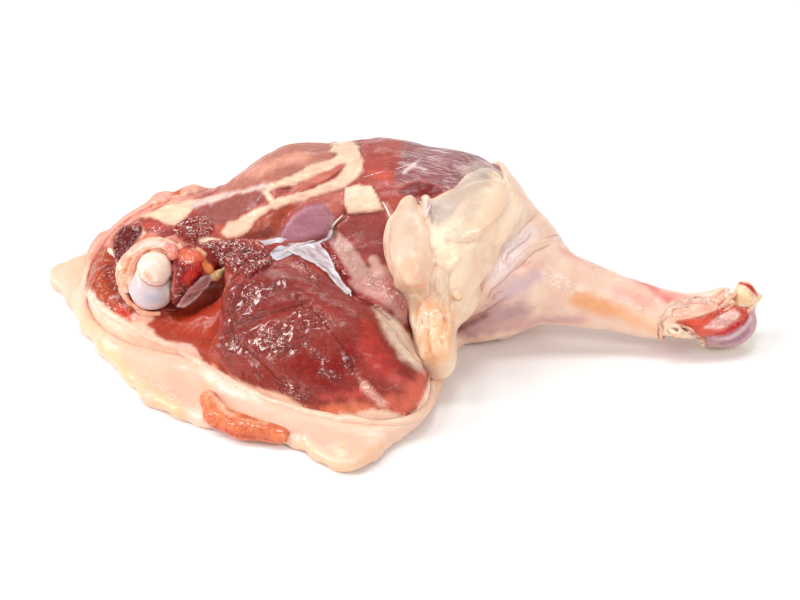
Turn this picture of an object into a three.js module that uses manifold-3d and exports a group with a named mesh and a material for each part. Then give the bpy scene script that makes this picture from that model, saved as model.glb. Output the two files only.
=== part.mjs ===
// A raw duck leg: thigh and drumstick in one piece, lying skin side down, cut side up.
//
// Millimetres, +Z up. +X runs along the leg towards the hock, -Y is the side the trimmed skin flap
// reaches out to, and the origin is under the middle of the leg, on the surface it lies on.
//
// Every tissue is written as a field: a function of a point that is negative inside and gives
// roughly the distance to the surface. Fields melt into each other the way muscles do, one field
// can be cut back to leave room for another, and netOf() turns a field into a closed mesh.
import * as THREE from "three";
import { mergeVertices } from "three/addons/utils/BufferGeometryUtils.js";
import Module from "manifold-3d";

const wasm = await Module();
wasm.setup();

// ---------- Driving dimensions ----------

const GAP = 0.4; // clearance between two tissues that lie against each other
const SHEET = 4.4; // thickness of the skin with its fat, spread flat
const SLEEVE = 2.2; // thickness of the skin round the drumstick

// Mesh steps along X, Y and Z
const STEP = [4.9, 4.4, 4.1]; // on the large tissues
const RIM_STEP = 2; // and up through the skin where it lies flat, below FLAT
const FLAT = 8;
const TRIM_STEP = [4.6, 4.2, 4]; // on the cut that trims the skin
const PAD_STEP = [3.6, 3.6, 3.6]; // on the pads of fat
const STRIP_STEP = [2.4, 2.4, 1.7]; // on the strip of flesh
const FINE_STEP = [2.1, 2.1, 2.1]; // on the ends of the bones
const SHAFT_SIDES = 12; // round the bones' shafts
const TUBE = { sides: 12, step: 4.5 }; // round and along the shank

// The drumstick: centre and radius of the flesh, from the fold of the thigh to where it narrows
const CALF = [
  { at: [-45, 28, 18], r: 12.5 },
  { at: [-25, 28, 23.8], r: 18.6 },
  { at: [-4, 26.5, 23.8], r: 21 },
  { at: [13, 21.8, 23.9], r: 20 },
  { at: [28, 13.6, 18.8], r: 13.5 },
  { at: [40, 8.1, 15.8], r: 7.5 },
];
// and on to the hock
const SHANK = [
  { at: [36, 9.8, 16.8], r: 9.3 },
  { at: [42, 7.5, 15.4], r: 8 },
  { at: [48, 6.6, 14], r: 6.7 },
  { at: [56, 5.5, 12.2], r: 5.6 },
  { at: [66, 4, 10.2], r: 4.9 },
  { at: [76, 2.9, 9.2], r: 4.4 },
];
const HOCK_FLESH = [
  { at: [66, 3, 9.8], r: 4 },
  { at: [74, 0.6, 9.9], r: 4.7 },
  { at: [82, -0.6, 10.8], r: 3.7 },
  { at: [88.2, 0.5, 11.6], r: 2.5 },
  { at: [90.3, 0.9, 11.9], r: 0.8 },
];
// The skin goes on past it, up to the cartilage on the joint
const SLEEVE_TIP = { at: [85, 4.3, 11.8], r: 3 };
const CALF_FOOT = { at: [18, 12, 11.5], half: [17, 11.5, 10.5], turn: -22 }; // it rests on this

// Muscles of the thigh: centre, half sizes and turn about Z
const THIGH = {
  hip: { at: [-58, 14, 9], half: [25.5, 21, 12.5], turn: -30 },
  rump: { at: [-52, 28.5, 11], half: [27, 14, 17], turn: 8 },
  core: { at: [-31, 5, 16.5], half: [21, 12, 12.5], turn: -8 },
  seat: { at: [-36, 4, 8], half: [30, 20, 12], turn: -20 },
  ham: { at: [-20, -13, 8], half: [27.5, 17.5, 15], turn: -25 },
  hamTip: { at: [-4, -26, 7.5], half: [11, 10.5, 8.5], turn: -20 },
  hamCrown: { at: [-29, -8, 17], half: [14, 9.5, 12], turn: -12 },
  hamBelly: { at: [-18, -16, 14], half: [17, 10, 12.5], turn: -32 },
  inner: { at: [-6, 4, 17], half: [9, 20, 14.5], turn: 12 },
};

// The thigh bone: ball, knob beside it and shaft, set in a mound of flesh
const FEMUR = {
  ball: { at: [-61.7, -1.4, 27.3], r: 4.7 },
  knob: { at: [-63, -0.4, 21], r: 6 },
  neck: { from: [-61.5, 0.4, 23.6], to: [-53, 6, 23], r: [4.4, 3.4] },
  shaft: { from: [-57, 3.4, 23], to: [-13, 30, 23.5], r: 3.1 },
};
const MOUND = { from: [-59.4, 5.2, 21.2], to: [-38, 19, 22], r: [9, 8.8] };
const STUMP = { at: [-39.5, -2.5, 23], r: 6.6 }; // a cut muscle end beside the mound

// The shin bone: its shaft, the smooth joint end at the hock and the cartilage on top of it
const SHIN = {
  shaft: { from: [10, 16.5, 21.5], to: [80, 2.8, 9.2], r: 2.6 },
  joint: { at: [85.2, 3.3, 7], half: [8.7, 6.1, 6.8], turn: 12 },
  cap: { at: [90, 6.6, 13.6], half: [3.4, 3.6, 4.3], turn: 0 },
  nub: { from: [90, 6.6, 12.8], to: [94, 7.9, 12.2], r: [2.2, 1.5] },
};

// Pads of fat where the drumstick leaves the thigh: centre, half sizes and turn about Z
const PADS = {
  knee: { at: [2.6, 4, 33], half: [6.2, 19, 7], turn: 3 },
  calf: { at: [18, 11, 37.5], half: [13, 13.5, 6.5], turn: 10 },
  bridge: { at: [12, 1, 33], half: [9, 10, 8], turn: 0 },
  fold: { at: [13, -4, 25], half: [8.5, 9, 12], turn: 0 },
  apron: { at: [9.4, -13, 12], half: [5, 10.5, 9.5], turn: 14 },
};

// A strip of flesh left on the outer rim of the skin: its line and half width
const STRIP = [
  { at: [-47.4, -25, 4.4], r: 2.6 },
  { at: [-45, -32, 3.8], r: 3.3 },
  { at: [-38.4, -36, 3.6], r: 3.2 },
  { at: [-28.6, -38.9, 3.4], r: 2.6 },
];

// Outline of the spread skin, seen from above
const FLAP = [
  [-13.3, -51.9], [-18.5, -47], [-24, -41.4], [-33.6, -38], [-42.9, -34.8], [-53.2, -30],
  [-62.6, -23.6], [-69.9, -13.6], [-77.6, -1.4], [-84.3, 11.2], [-88.9, 22.8], [-98, 32.4],
  [-93, 37.4], [-85, 41.6], [-75, 43.6], [-52, 43.6], [-20, 40], [10, 34], [22, 20], [17.5, 6],
  [14.4, -3.7], [12, -13.8], [8.1, -24.2], [1.7, -35.2], [-4.4, -44.2], [-8.7, -49.2],
];
// Its cut rim: how far it wanders in and out, how round it is, how far that makes it fall short of
// the outline, and in how many pieces it is followed
const RIM = { wave: 0.55, round: 3, grow: 0.7, pieces: 150 };

// The skin is trimmed off above this height: a low lip in front, a wall up the back of the thigh
const TRIM = {
  lip: 5.8, // in front
  front: 10, // from this Y on it climbs
  back: 34, // and at this one it has reached the wall
  tip: { from: -98, to: -56, low: 9 }, // the wall grows from this height over this run of X
  high: 28.6, // to this
  dip: { at: -34, wide: 18, deep: 6 },
  steep: 0.6, // brings the slope of the field near one
};
// and it stays whole round the drumstick, from a slanted line at this X and height on
const SLEEVE_START = { x: 12, z: 10, rise: 2 };
// The block that is cut away reaches this far: half its width, half its depth and its top
const TRIM_REACH = { x: 111, y: 63, z: 55 };
// The far end of the sleeve is cut open on the near side, past a start line and below a slanted
// edge, to show the flesh on the hock
const SLEEVE_END = {
  edge: { at: [84, 1, 12.6], facing: [0.3, -0.6, -0.82] },
  start: { at: [69, 0, 6], facing: [1, -0.1, -0.14] },
};
const BLOCK = 60; // size of the blocks that make that cut

// ---------- Fields ----------

const point = (xyz) => new THREE.Vector3(...xyz);
const { degToRad, clamp, lerp, smoothstep } = THREE.MathUtils;

// Smooth minimum: two fields melt together over a width of k
const melt = (a, b, k) => {
  const h = Math.max(k - Math.abs(a - b), 0) / k;
  return Math.min(a, b) - h * h * k * 0.25;
};
const union = (k, ...fields) => (p) => fields.map((f) => f(p)).reduce((a, b) => melt(a, b, k));
const common = (k, ...fields) => (p) => -fields.map((f) => -f(p)).reduce((a, b) => melt(a, b, k));
const grown = (by, field) => (p) => field(p) - by;
const above = (height) => (p) => height - p.z;

const ball = ({ at, r }) => {
  const centre = point(at);
  return (p) => p.distanceTo(centre) - r;
};

// An ellipsoid turned about Z
const muscle = ({ at, half, turn }) => {
  const centre = point(at);
  const [c, s] = [Math.cos(degToRad(turn)), Math.sin(degToRad(turn))];
  return (p) => {
    const [x, y, z] = [p.x - centre.x, p.y - centre.y, p.z - centre.z];
    const [u, v, w] = [(x * c + y * s) / half[0], (y * c - x * s) / half[1], z / half[2]];
    const near = Math.hypot(u, v, w);
    const slope = Math.hypot(u / half[0], v / half[1], w / half[2]);
    return near < 1e-6 ? -Math.min(...half) : (near * (near - 1)) / slope;
  };
};

// A capsule whose radius changes evenly from one end to the other
const taper = ({ from, to, r }) => {
  const [a, b] = [point(from), point(to)];
  const along = b.clone().sub(a);
  const length2 = along.lengthSq();
  return (p) => {
    const t = clamp(p.clone().sub(a).dot(along) / length2, 0, 1);
    return p.distanceTo(a.clone().addScaledVector(along, t)) - lerp(r[0], r[1], t);
  };
};

const chain = (k, stations) => {
  const links = stations.slice(1).map((s, i) => {
    const before = stations[i];
    return taper({ from: before.at, to: s.at, r: [before.r, s.r] });
  });
  return union(k, ...links);
};

// A flat sheet with the given outline and a wavy rim, between the heights low and high
const sheet = (outline, low, high) => {
  const corners = outline.map(([x, y]) => point([x, y, 0]));
  const rim = new THREE.CatmullRomCurve3(corners, true, "centripetal").getSpacedPoints(RIM.pieces);
  return (p) => {
    let [best, inside] = [Infinity, false];
    for (let i = 1; i < rim.length; i++) {
      const [a, b] = [rim[i - 1], rim[i]];
      const [ex, ey, px, py] = [b.x - a.x, b.y - a.y, p.x - a.x, p.y - a.y];
      const t = clamp((px * ex + py * ey) / (ex * ex + ey * ey), 0, 1);
      best = Math.min(best, (px - t * ex) ** 2 + (py - t * ey) ** 2);
      if (a.y > p.y !== b.y > p.y && px < (ex * py) / ey) inside = !inside;
    }
    const [slow, quick] = [0.52 * p.x - 0.31 * p.y, 0.95 * p.y + 0.4 * p.x];
    const wave = RIM.wave * (Math.sin(slow) + 0.6 * Math.sin(quick));
    const across = Math.sqrt(best) * (inside ? -1 : 1) + wave - RIM.grow;
    const upright = Math.max(low - p.z, p.z - high);
    return -melt(-across, -upright, RIM.round);
  };
};

// ---------- From a field to a closed mesh ----------

const EVENING = 2; // rounds of evening out
const SLOPE_REACH = 0.15; // distance over which a field's slope is measured
const LEASH = 0.24; // how far a vertex may walk, as a share of its cell's diagonal

const linesOf = (low, high, step) =>
  Array.from({ length: Math.ceil((high - low) / step) + 1 }, (_, i) => low + i * step);

const ACROSS = [[1, 2], [2, 0], [0, 1]]; // for each axis, the other two

// A grid square with two opposite corners inside and two outside would give an edge that four faces
// share: the outer corner nearest the surface is taken in. Returns how many squares were mended.
function filledSquares(value, counts) {
  const strides = [1, counts[0], counts[0] * counts[1]];
  let mended = 0;
  for (let first = 0; first < value.length; first++)
    for (const [u, v] of ACROSS) {
      const place = (axis) => Math.floor(first / strides[axis]) % counts[axis];
      if (place(u) === counts[u] - 1 || place(v) === counts[v] - 1) continue;
      const square = [0, strides[u], strides[u] + strides[v], strides[v]].map((step) => first + step);
      const [a, b, c, d] = square.map((corner) => value[corner] < 0);
      if (a !== c || b !== d || a === b) continue;
      const outer = square.filter((corner) => value[corner] >= 0);
      value[value[outer[0]] < value[outer[1]] ? outer[0] : outer[1]] = -1e-6;
      mended++;
    }
  return mended;
}

// Surface nets: one vertex in every cell that the surface crosses, one quad for every grid edge
// that it crosses. Each vertex is then walked onto the surface along the field's own slope. The
// result is a function that gives the solid, moved outwards by a clearance where one is asked for.
function netOf(field, [xs, ys, zs]) {
  const [nx, ny, nz] = [xs.length, ys.length, zs.length];
  const at = (i, j, k) => point([xs[i], ys[j], zs[k]]);
  const index = (i, j, k) => (k * ny + j) * nx + i;
  const value = new Float64Array(nx * ny * nz);
  for (let k = 0; k < nz; k++)
    for (let j = 0; j < ny; j++) for (let i = 0; i < nx; i++) value[index(i, j, k)] = field(at(i, j, k));
  while (filledSquares(value, [nx, ny, nz]));

  const slope = (p) =>
    point(
      ["x", "y", "z"].map((axis) => {
        const [hi, lo] = [p.clone(), p.clone()];
        hi[axis] += SLOPE_REACH;
        lo[axis] -= SLOPE_REACH;
        return (field(hi) - field(lo)) / (2 * SLOPE_REACH);
      }),
    );
  const walked = (from, steps) => {
    const p = from.clone();
    for (let i = 0; i < steps; i++) {
      const g = slope(p);
      p.addScaledVector(g, -field(p) / Math.max(g.lengthSq(), 0.25));
    }
    return p;
  };

  const vertices = [];
  const cellVertex = new Map();
  const corners = [0, 1, 2, 3, 4, 5, 6, 7].map((c) => [c & 1, (c >> 1) & 1, c >> 2]);
  for (let k = 0; k < nz - 1; k++)
    for (let j = 0; j < ny - 1; j++)
      for (let i = 0; i < nx - 1; i++) {
        const crossings = [];
        for (const a of corners)
          for (const axis of [0, 1, 2]) {
            if (a[axis]) continue;
            const b = a.map((x, d) => (d === axis ? 1 : x));
            const [va, vb] = [a, b].map((c) => value[index(i + c[0], j + c[1], k + c[2])]);
            if (va < 0 === vb < 0) continue;
            const from = at(i + a[0], j + a[1], k + a[2]);
            crossings.push(from.lerp(at(i + b[0], j + b[1], k + b[2]), va / (va - vb)));
          }
        if (!crossings.length) continue;
        const centre = crossings.reduce((sum, c) => sum.add(c), point([0, 0, 0]));
        centre.divideScalar(crossings.length);
        const placed = walked(centre, 3);
        const leash = LEASH * at(i, j, k).distanceTo(at(i + 1, j + 1, k + 1));
        if (placed.distanceTo(centre) > leash) placed.sub(centre).setLength(leash).add(centre);
        cellVertex.set(index(i, j, k), vertices.length);
        vertices.push(placed);
      }

  const triangles = [];
  for (let k = 1; k < nz - 1; k++)
    for (let j = 1; j < ny - 1; j++)
      for (let i = 1; i < nx - 1; i++)
        for (const axis of [0, 1, 2]) {
          const here = [i, j, k];
          const next = here.map((x, d) => (d === axis ? x + 1 : x));
          const [va, vb] = [value[index(...here)], value[index(...next)]];
          if (va < 0 === vb < 0) continue;
          const [u, v] = ACROSS[axis];
          const cell = (du, dv) => {
            const c = [...here];
            c[u] -= du;
            c[v] -= dv;
            return cellVertex.get(index(...c));
          };
          const quad = [cell(1, 1), cell(0, 1), cell(0, 0), cell(1, 0)];
          if (va >= 0) quad.reverse();
          triangles.push(quad[0], quad[1], quad[2], quad[0], quad[2], quad[3]);
        }

  // Even the vertices out: each one drifts towards its neighbours and is walked back onto the surface
  const neighbours = Array.from({ length: vertices.length }, () => new Set());
  for (let t = 0; t < triangles.length; t += 3)
    for (const c of [0, 1, 2]) neighbours[triangles[t + c]].add(triangles[t + ((c + 1) % 3)]);
  for (let round = 0; round < EVENING; round++) {
    const drifted = vertices.map((v, i) => {
      const mean = [...neighbours[i]].reduce((sum, n) => sum.add(vertices[n]), point([0, 0, 0]));
      return mean.divideScalar(neighbours[i].size).lerp(v, 0.5);
    });
    drifted.forEach((v, i) => vertices[i].copy(walked(v, 2)));
  }
  const outwards = vertices.map((v) => slope(v).normalize());
  return (by = 0) => {
    const moved = vertices.flatMap((v, i) => v.clone().addScaledVector(outwards[i], by).toArray());
    return solidOf(new Float32Array(moved), new Uint32Array(triangles));
  };
}
const solidOf = (vertProperties, triVerts) =>
  new wasm.Manifold(new wasm.Mesh({ numProp: 3, vertProperties, triVerts }));

function geometryOf(solid) {
  const { vertProperties, triVerts, numProp, numVert } = solid.getMesh();
  const positions = new Float32Array(numVert * 3);
  for (let i = 0; i < numVert; i++)
    positions.set(vertProperties.subarray(i * numProp, i * numProp + 3), i * 3);
  const geometry = new THREE.BufferGeometry();
  geometry.setAttribute("position", new THREE.BufferAttribute(positions, 3));
  geometry.setIndex(new THREE.BufferAttribute(triVerts, 1));
  geometry.computeVertexNormals();
  return geometry;
}

// A three.js geometry as a solid
function solidOfGeometry(geometry) {
  geometry.deleteAttribute("normal");
  geometry.deleteAttribute("uv");
  const merged = mergeVertices(geometry, 1e-3);
  return solidOf(merged.attributes.position.array, new Uint32Array(merged.index.array));
}

// A plain round shaft from one point to another, a little thinner half way, with rounded ends
function shaftOf({ from, to, r }, by) {
  const [a, b] = [point(from), point(to)];
  const radius = r + by;
  const length = a.distanceTo(b);
  const profile = [
    [0, -radius], [radius * 0.7, -radius * 0.7], [radius, 0], [radius, length * 0.25],
    [radius * 0.88, length * 0.5], [radius, length * 0.8], [radius, length],
    [radius * 0.7, length + radius * 0.7], [0, length + radius],
  ];
  const lathe = new THREE.LatheGeometry(profile.map(([x, y]) => new THREE.Vector2(x, y)), SHAFT_SIDES);
  lathe.applyQuaternion(new THREE.Quaternion().setFromUnitVectors(point([0, 1, 0]), b.sub(a).normalize()));
  return solidOfGeometry(lathe.translate(...from));
}

// A round tube through the stations, its radius following theirs, with closed flat ends, made
// wider and longer at both ends by the clearance
function tubeOf(stations, by) {
  const path = new THREE.CatmullRomCurve3(stations.map(({ at }) => point(at)));
  const radii = new THREE.CatmullRomCurve3(stations.map(({ r }) => point([r + by, 0, 0])));
  const rings = Math.ceil(path.getLength() / TUBE.step);
  const centreOf = (i) => {
    const past = i === 0 ? -by : i === rings ? by : 0;
    return path.getPoint(i / rings).addScaledVector(path.getTangent(i / rings), past);
  };
  const positions = [];
  for (let i = 0; i <= rings; i++) {
    const centre = centreOf(i);
    const along = path.getTangent(i / rings);
    const side = point([0, 0, 1]).cross(along).normalize();
    const up = along.clone().cross(side);
    const radius = radii.getPoint(i / rings).x;
    for (let k = 0; k < TUBE.sides; k++) {
      const angle = (2 * Math.PI * k) / TUBE.sides;
      const rim = centre.clone().addScaledVector(side, radius * Math.cos(angle));
      positions.push(...rim.addScaledVector(up, radius * Math.sin(angle)).toArray());
    }
  }
  positions.push(...centreOf(0).toArray(), ...centreOf(rings).toArray());
  const [first, last] = [(rings + 1) * TUBE.sides, (rings + 1) * TUBE.sides + 1];
  const triangles = [];
  for (let k = 0; k < TUBE.sides; k++) {
    const next = (k + 1) % TUBE.sides;
    triangles.push(first, next, k);
    for (let i = 0; i < rings; i++) {
      const [a, b] = [i * TUBE.sides + k, i * TUBE.sides + next];
      triangles.push(a, b, a + TUBE.sides, b, b + TUBE.sides, a + TUBE.sides);
    }
    triangles.push(last, rings * TUBE.sides + k, rings * TUBE.sides + next);
  }
  return solidOf(new Float32Array(positions), new Uint32Array(triangles));
}

// A block that takes away all that lies past a plane
function beyond({ at, facing }, size) {
  const block = new THREE.BoxGeometry(size, size, size).translate(size / 2, 0, 0);
  const turn = new THREE.Quaternion().setFromUnitVectors(point([1, 0, 0]), point(facing).normalize());
  return solidOfGeometry(block.applyQuaternion(turn).translate(...at));
}

// ---------- Where the tissues lie ----------

const boneEnds = {
  femur: union(0.6, union(1.6, ball(FEMUR.knob), taper(FEMUR.neck)), ball(FEMUR.ball)),
  shin: union(1.2, muscle(SHIN.joint), muscle(SHIN.cap), taper(SHIN.nub)),
};
const calf = union(6, chain(4, CALF), muscle(CALF_FOOT));
const thigh = union(5, ...Object.values(THIGH).map(muscle));

const meatField = common(
  1.5,
  union(2.5, union(5, calf, thigh), taper(MOUND), ball(STUMP)),
  above(SHEET + GAP),
);

const trimHeight = (p) => {
  const behind = smoothstep(p.y, TRIM.front, TRIM.back);
  const climb = lerp(TRIM.tip.low, TRIM.high, smoothstep(p.x, TRIM.tip.from, TRIM.tip.to));
  const dip = TRIM.dip.deep * Math.exp(-(((p.x - TRIM.dip.at) / TRIM.dip.wide) ** 2));
  const wall = lerp(TRIM.lip, climb - dip, behind);
  const sleeve = SLEEVE_START.z + (p.x - SLEEVE_START.x) * SLEEVE_START.rise;
  return -melt(-wall, -sleeve, 4);
};
const skinField = common(
  1,
  union(4, grown(SLEEVE, calf), grown(SLEEVE, thigh), sheet(FLAP, -3, SHEET)),
  above(0),
);
const trimField = (p) => {
  const [dx, dy, dz] = [Math.abs(p.x) - TRIM_REACH.x, Math.abs(p.y) - TRIM_REACH.y, p.z - TRIM_REACH.z];
  return Math.max((trimHeight(p) - p.z) * TRIM.steep, dx, dy, dz);
};

const padField = common(1, union(3.5, ...Object.values(PADS).map(muscle)), above(SHEET + GAP));
const stripField = common(0.5, chain(1.5, STRIP), above(GAP));

// ---------- The pieces ----------

// The boxes that the meshes are drawn in, each with a free margin round its tissue
const boxLines = ([low, high], step) => low.map((l, axis) => linesOf(l, high[axis], step[axis]));
const BODY_BOX = [[-103, -58, -2.6], [103, 58, 50]];
const TRIM_BOX = [[-120, -70, -6], [120, 70, 62]];
const PAD_BOX = [[-10, -32, -2], [38, 32, 50]];
const STRIP_BOX = [[-55, -48, -2.8], [-20, -15, 12]];
const FEMUR_BOX = [[-73, -12, 11], [-44, 15, 36]];
const SHIN_BOX = [[70, -9, -4], [102, 16, 22]];

const [bodyX, bodyY] = boxLines(BODY_BOX, STEP);
const [bottom, top] = BODY_BOX.map((corner) => corner[2]);
const bodyZ = [...linesOf(bottom, FLAT, RIM_STEP), ...linesOf(FLAT + STEP[2], top, STEP[2])];
const flesh = netOf(meatField, [bodyX, bodyY, bodyZ]);
const hide = netOf(skinField, [bodyX, bodyY, bodyZ]);
const trim = netOf(trimField, boxLines(TRIM_BOX, TRIM_STEP));
const fat = netOf(padField, boxLines(PAD_BOX, PAD_STEP));
const rimFlesh = netOf(stripField, boxLines(STRIP_BOX, STRIP_STEP));
const femurEnd = netOf(boneEnds.femur, boxLines(FEMUR_BOX, FINE_STEP));
const shinEnd = netOf(boneEnds.shin, boxLines(SHIN_BOX, FINE_STEP));

const femurOf = (by) => femurEnd(by).add(shaftOf(FEMUR.shaft, by));
const shinOf = (by) => shinEnd(by).add(shaftOf(SHIN.shaft, by));
const fleshOf = (by) => flesh(by).add(tubeOf(SHANK, by)).add(tubeOf(HOCK_FLESH, by));
const { edge, start } = SLEEVE_END;
const sleeveEnd = beyond(edge, BLOCK).intersect(beyond(start, BLOCK));
const roomForSkin = hide(GAP).subtract(trim(-GAP));

const femur = femurOf(0);
const shin = shinOf(0);
const meat = fleshOf(0).subtract(femurOf(GAP)).subtract(shinOf(GAP));
const skin = hide(0)
  .add(tubeOf([...SHANK, SLEEVE_TIP], SLEEVE))
  .subtract(fleshOf(GAP))
  .subtract(trim(0))
  .subtract(sleeveEnd)
  .subtract(shinOf(GAP));
const pads = fat(0).subtract(flesh(GAP)).subtract(roomForSkin);
const strip = rimFlesh(0).subtract(roomForSkin);

const finish = {
  skin: new THREE.MeshStandardMaterial({ color: 0xf0cfae, roughness: 0.45 }),
  meat: new THREE.MeshStandardMaterial({ color: 0xa34a41, roughness: 0.3 }),
  fat: new THREE.MeshStandardMaterial({ color: 0xf1e3c4, roughness: 0.4 }),
  bone: new THREE.MeshStandardMaterial({ color: 0xe6e2e4, roughness: 0.25 }),
};

const leg = new THREE.Group();
for (const [name, solid, material] of [
  ["skin", skin, finish.skin],
  ["meat", meat, finish.meat],
  ["meat_strip", strip, finish.meat],
  ["knee_fat", pads, finish.fat],
  ["femur", femur, finish.bone],
  ["shin_bone", shin, finish.bone],
]) {
  const mesh = new THREE.Mesh(geometryOf(solid), material);
  mesh.name = name;
  leg.add(mesh);
}

const box = new THREE.Box3().setFromObject(leg);
leg.position.set(-(box.min.x + box.max.x) / 2, -(box.min.y + box.max.y) / 2, -box.min.z);

export default leg;
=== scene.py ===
# %% [markdown]
# # A raw duck leg
# Thigh and drumstick in one piece, lying on its skin with the cut side up. The solids give every
# tissue its size and place. What this lesson adds is what coarse solids can't hold: the grain of
# the muscles, the fat between them, thin films that catch the light, pores, creases and wetness.

# %% The frame
import math
import bmesh
import bpy
import numpy as np
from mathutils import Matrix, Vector
from mathutils.bvhtree import BVHTree


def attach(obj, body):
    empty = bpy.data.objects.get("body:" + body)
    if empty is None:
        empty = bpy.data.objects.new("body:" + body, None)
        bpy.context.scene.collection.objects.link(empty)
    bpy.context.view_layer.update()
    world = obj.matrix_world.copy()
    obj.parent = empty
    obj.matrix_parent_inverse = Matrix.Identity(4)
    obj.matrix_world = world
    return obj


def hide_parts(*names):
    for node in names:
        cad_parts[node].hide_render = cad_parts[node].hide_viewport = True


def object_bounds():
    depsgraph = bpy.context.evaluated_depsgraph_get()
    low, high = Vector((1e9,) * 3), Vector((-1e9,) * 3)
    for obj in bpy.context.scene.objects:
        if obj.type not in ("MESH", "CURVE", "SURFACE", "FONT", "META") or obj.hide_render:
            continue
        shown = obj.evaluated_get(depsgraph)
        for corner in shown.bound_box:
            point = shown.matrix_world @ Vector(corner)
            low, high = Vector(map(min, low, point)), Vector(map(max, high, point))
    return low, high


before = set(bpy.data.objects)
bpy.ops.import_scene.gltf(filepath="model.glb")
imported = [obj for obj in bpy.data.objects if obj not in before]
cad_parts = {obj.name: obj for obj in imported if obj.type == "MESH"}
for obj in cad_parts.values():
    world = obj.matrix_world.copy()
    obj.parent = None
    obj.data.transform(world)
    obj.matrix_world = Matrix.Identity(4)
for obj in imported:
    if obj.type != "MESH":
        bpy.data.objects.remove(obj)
cad_box = [list(corner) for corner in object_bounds()]
MM = 0.001
print("the solids span", [round((b - a) / MM, 1) for a, b in zip(*cad_box)], "mm")

# %% [markdown]
# ## The camera
# The picture was taken from in front, 35 degrees above the table, with a long lens. The camera
# comes first, because the places of small details are given as points in the picture: a ray from
# the camera through such a point finds the spot on the leg, so the detail sits on the tissue that
# carries it and is right from every other side too.

# %% Camera
PICTURE = (800, 600)
LENS = {"focal": 100.0, "sensor": 36.0}
TARGET = np.array([0.57, 24.47, 0.0])  # mm, the point on the table in the middle of the picture
DISTANCE, TILT = 600.0, math.radians(35)
BACK = np.array([0.0, -math.cos(TILT), math.sin(TILT)])
RIGHT = np.array([1.0, 0.0, 0.0])
UP = np.cross(BACK, RIGHT)
EYE = TARGET + DISTANCE * BACK
FOCAL_PIXELS = LENS["focal"] / LENS["sensor"] * PICTURE[0]


def placed(name, data):
    """A new object in the scene."""
    thing = bpy.data.objects.new(name, data)
    bpy.context.scene.collection.objects.link(thing)
    return thing


lens = bpy.data.cameras.new("camera")
lens.lens, lens.sensor_width = LENS["focal"], LENS["sensor"]
camera = placed("camera", lens)
camera.location = Vector(EYE * MM)
camera.rotation_euler = (math.pi / 2 - TILT, 0, 0)
bpy.context.scene.camera = camera


def sight(x, y):
    """The direction of the ray through a point of the picture."""
    across = (x - PICTURE[0] / 2) / FOCAL_PIXELS
    upwards = (PICTURE[1] / 2 - y) / FOCAL_PIXELS
    ray = across * RIGHT + upwards * UP - BACK
    return ray / np.linalg.norm(ray)


def seen(places):
    """The points of the picture where places in mm are seen."""
    away = places - EYE
    depth = -(away @ BACK)
    x = PICTURE[0] / 2 + FOCAL_PIXELS * (away @ RIGHT) / depth
    return np.stack([x, PICTURE[1] / 2 - FOCAL_PIXELS * (away @ UP) / depth], 1)


PIXEL = DISTANCE / FOCAL_PIXELS  # mm on the leg for one step in the picture
print("the camera stands at", EYE.round(1), "mm")

# %% [markdown]
# ## Light and table
# A white table under five soft lamps: one above, two to the left, one behind the leg and one in
# front of it. Wet flesh is dark where it mirrors nothing and white where it mirrors a lamp. One
# large lamp would turn into one dull patch, so the lamps are small and bright and break up into
# glints, and the even white of the room fills the shadows.

# %% Light and table
scene = bpy.context.scene
scene.view_settings.view_transform = "Standard"
ROOM_LIGHT = 0.5
world = bpy.data.worlds.new("room")
scene.world = world
world.use_nodes = True
world.node_tree.nodes["Background"].inputs["Color"].default_value = (1.0, 0.99, 0.98, 1)
world.node_tree.nodes["Background"].inputs["Strength"].default_value = ROOM_LIGHT


def lamp(name, place, aim, size, power):
    """A rectangular soft lamp, in metres and watts, turned towards a point."""
    light = bpy.data.lights.new(name, "AREA")
    light.shape, light.size, light.size_y, light.energy = "RECTANGLE", size[0], size[1], power
    holder = placed(name, light)
    holder.location = place
    holder.rotation_euler = (Vector(aim) - Vector(place)).to_track_quat("-Z", "Y").to_euler()


lamp("key", (0.0, 0.0, 1.1), (0, 0, 0), (0.3, 0.28), 3.0)
lamp("left", (-0.52, -0.07, 1.0), (0, 0, 0), (0.26, 0.26), 2.2)
lamp("window", (-0.85, -0.15, 0.5), (0, 0, 0.02), (0.26, 0.5), 5.0)
lamp("back", (0.15, 1.0, 0.75), (0, 0, 0), (0.7, 0.16), 2.4)
lamp("front", (0.5, -0.75, 0.85), (0, 0, 0), (0.3, 0.3), 3.0)

# %% [markdown]
# ## Noise
# Nothing in a body is even. One kind of noise, a smooth random value at every point of space, bends
# outlines, roughens surfaces and stretches into fibres when its cells are made long in one
# direction. It is written here with plain arrays, so that it also works on a hundred thousand
# points at once.

# %% Noise
HASH_MASK = 0xFFFFFFFF
AXIS_FACTORS = np.array([374761393, 668265263, 1274126177])  # large odd numbers scatter the bits
SEED_FACTOR = 1013904223
MIXERS = (2246822519, 3266489917)
OCTAVE_SHIFT = 17.3  # cells, so that the octaves don't line up


def lattice(cells, seed):
    """A random number from -1 to 1 for each cell corner."""
    mixed = (cells @ AXIS_FACTORS + seed * SEED_FACTOR) & HASH_MASK
    mixed = ((mixed ^ (mixed >> 15)) * MIXERS[0]) & HASH_MASK
    mixed = ((mixed ^ (mixed >> 13)) * MIXERS[1]) & HASH_MASK
    return ((mixed ^ (mixed >> 16)) & 0xFFFF) / 32767.5 - 1


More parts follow.
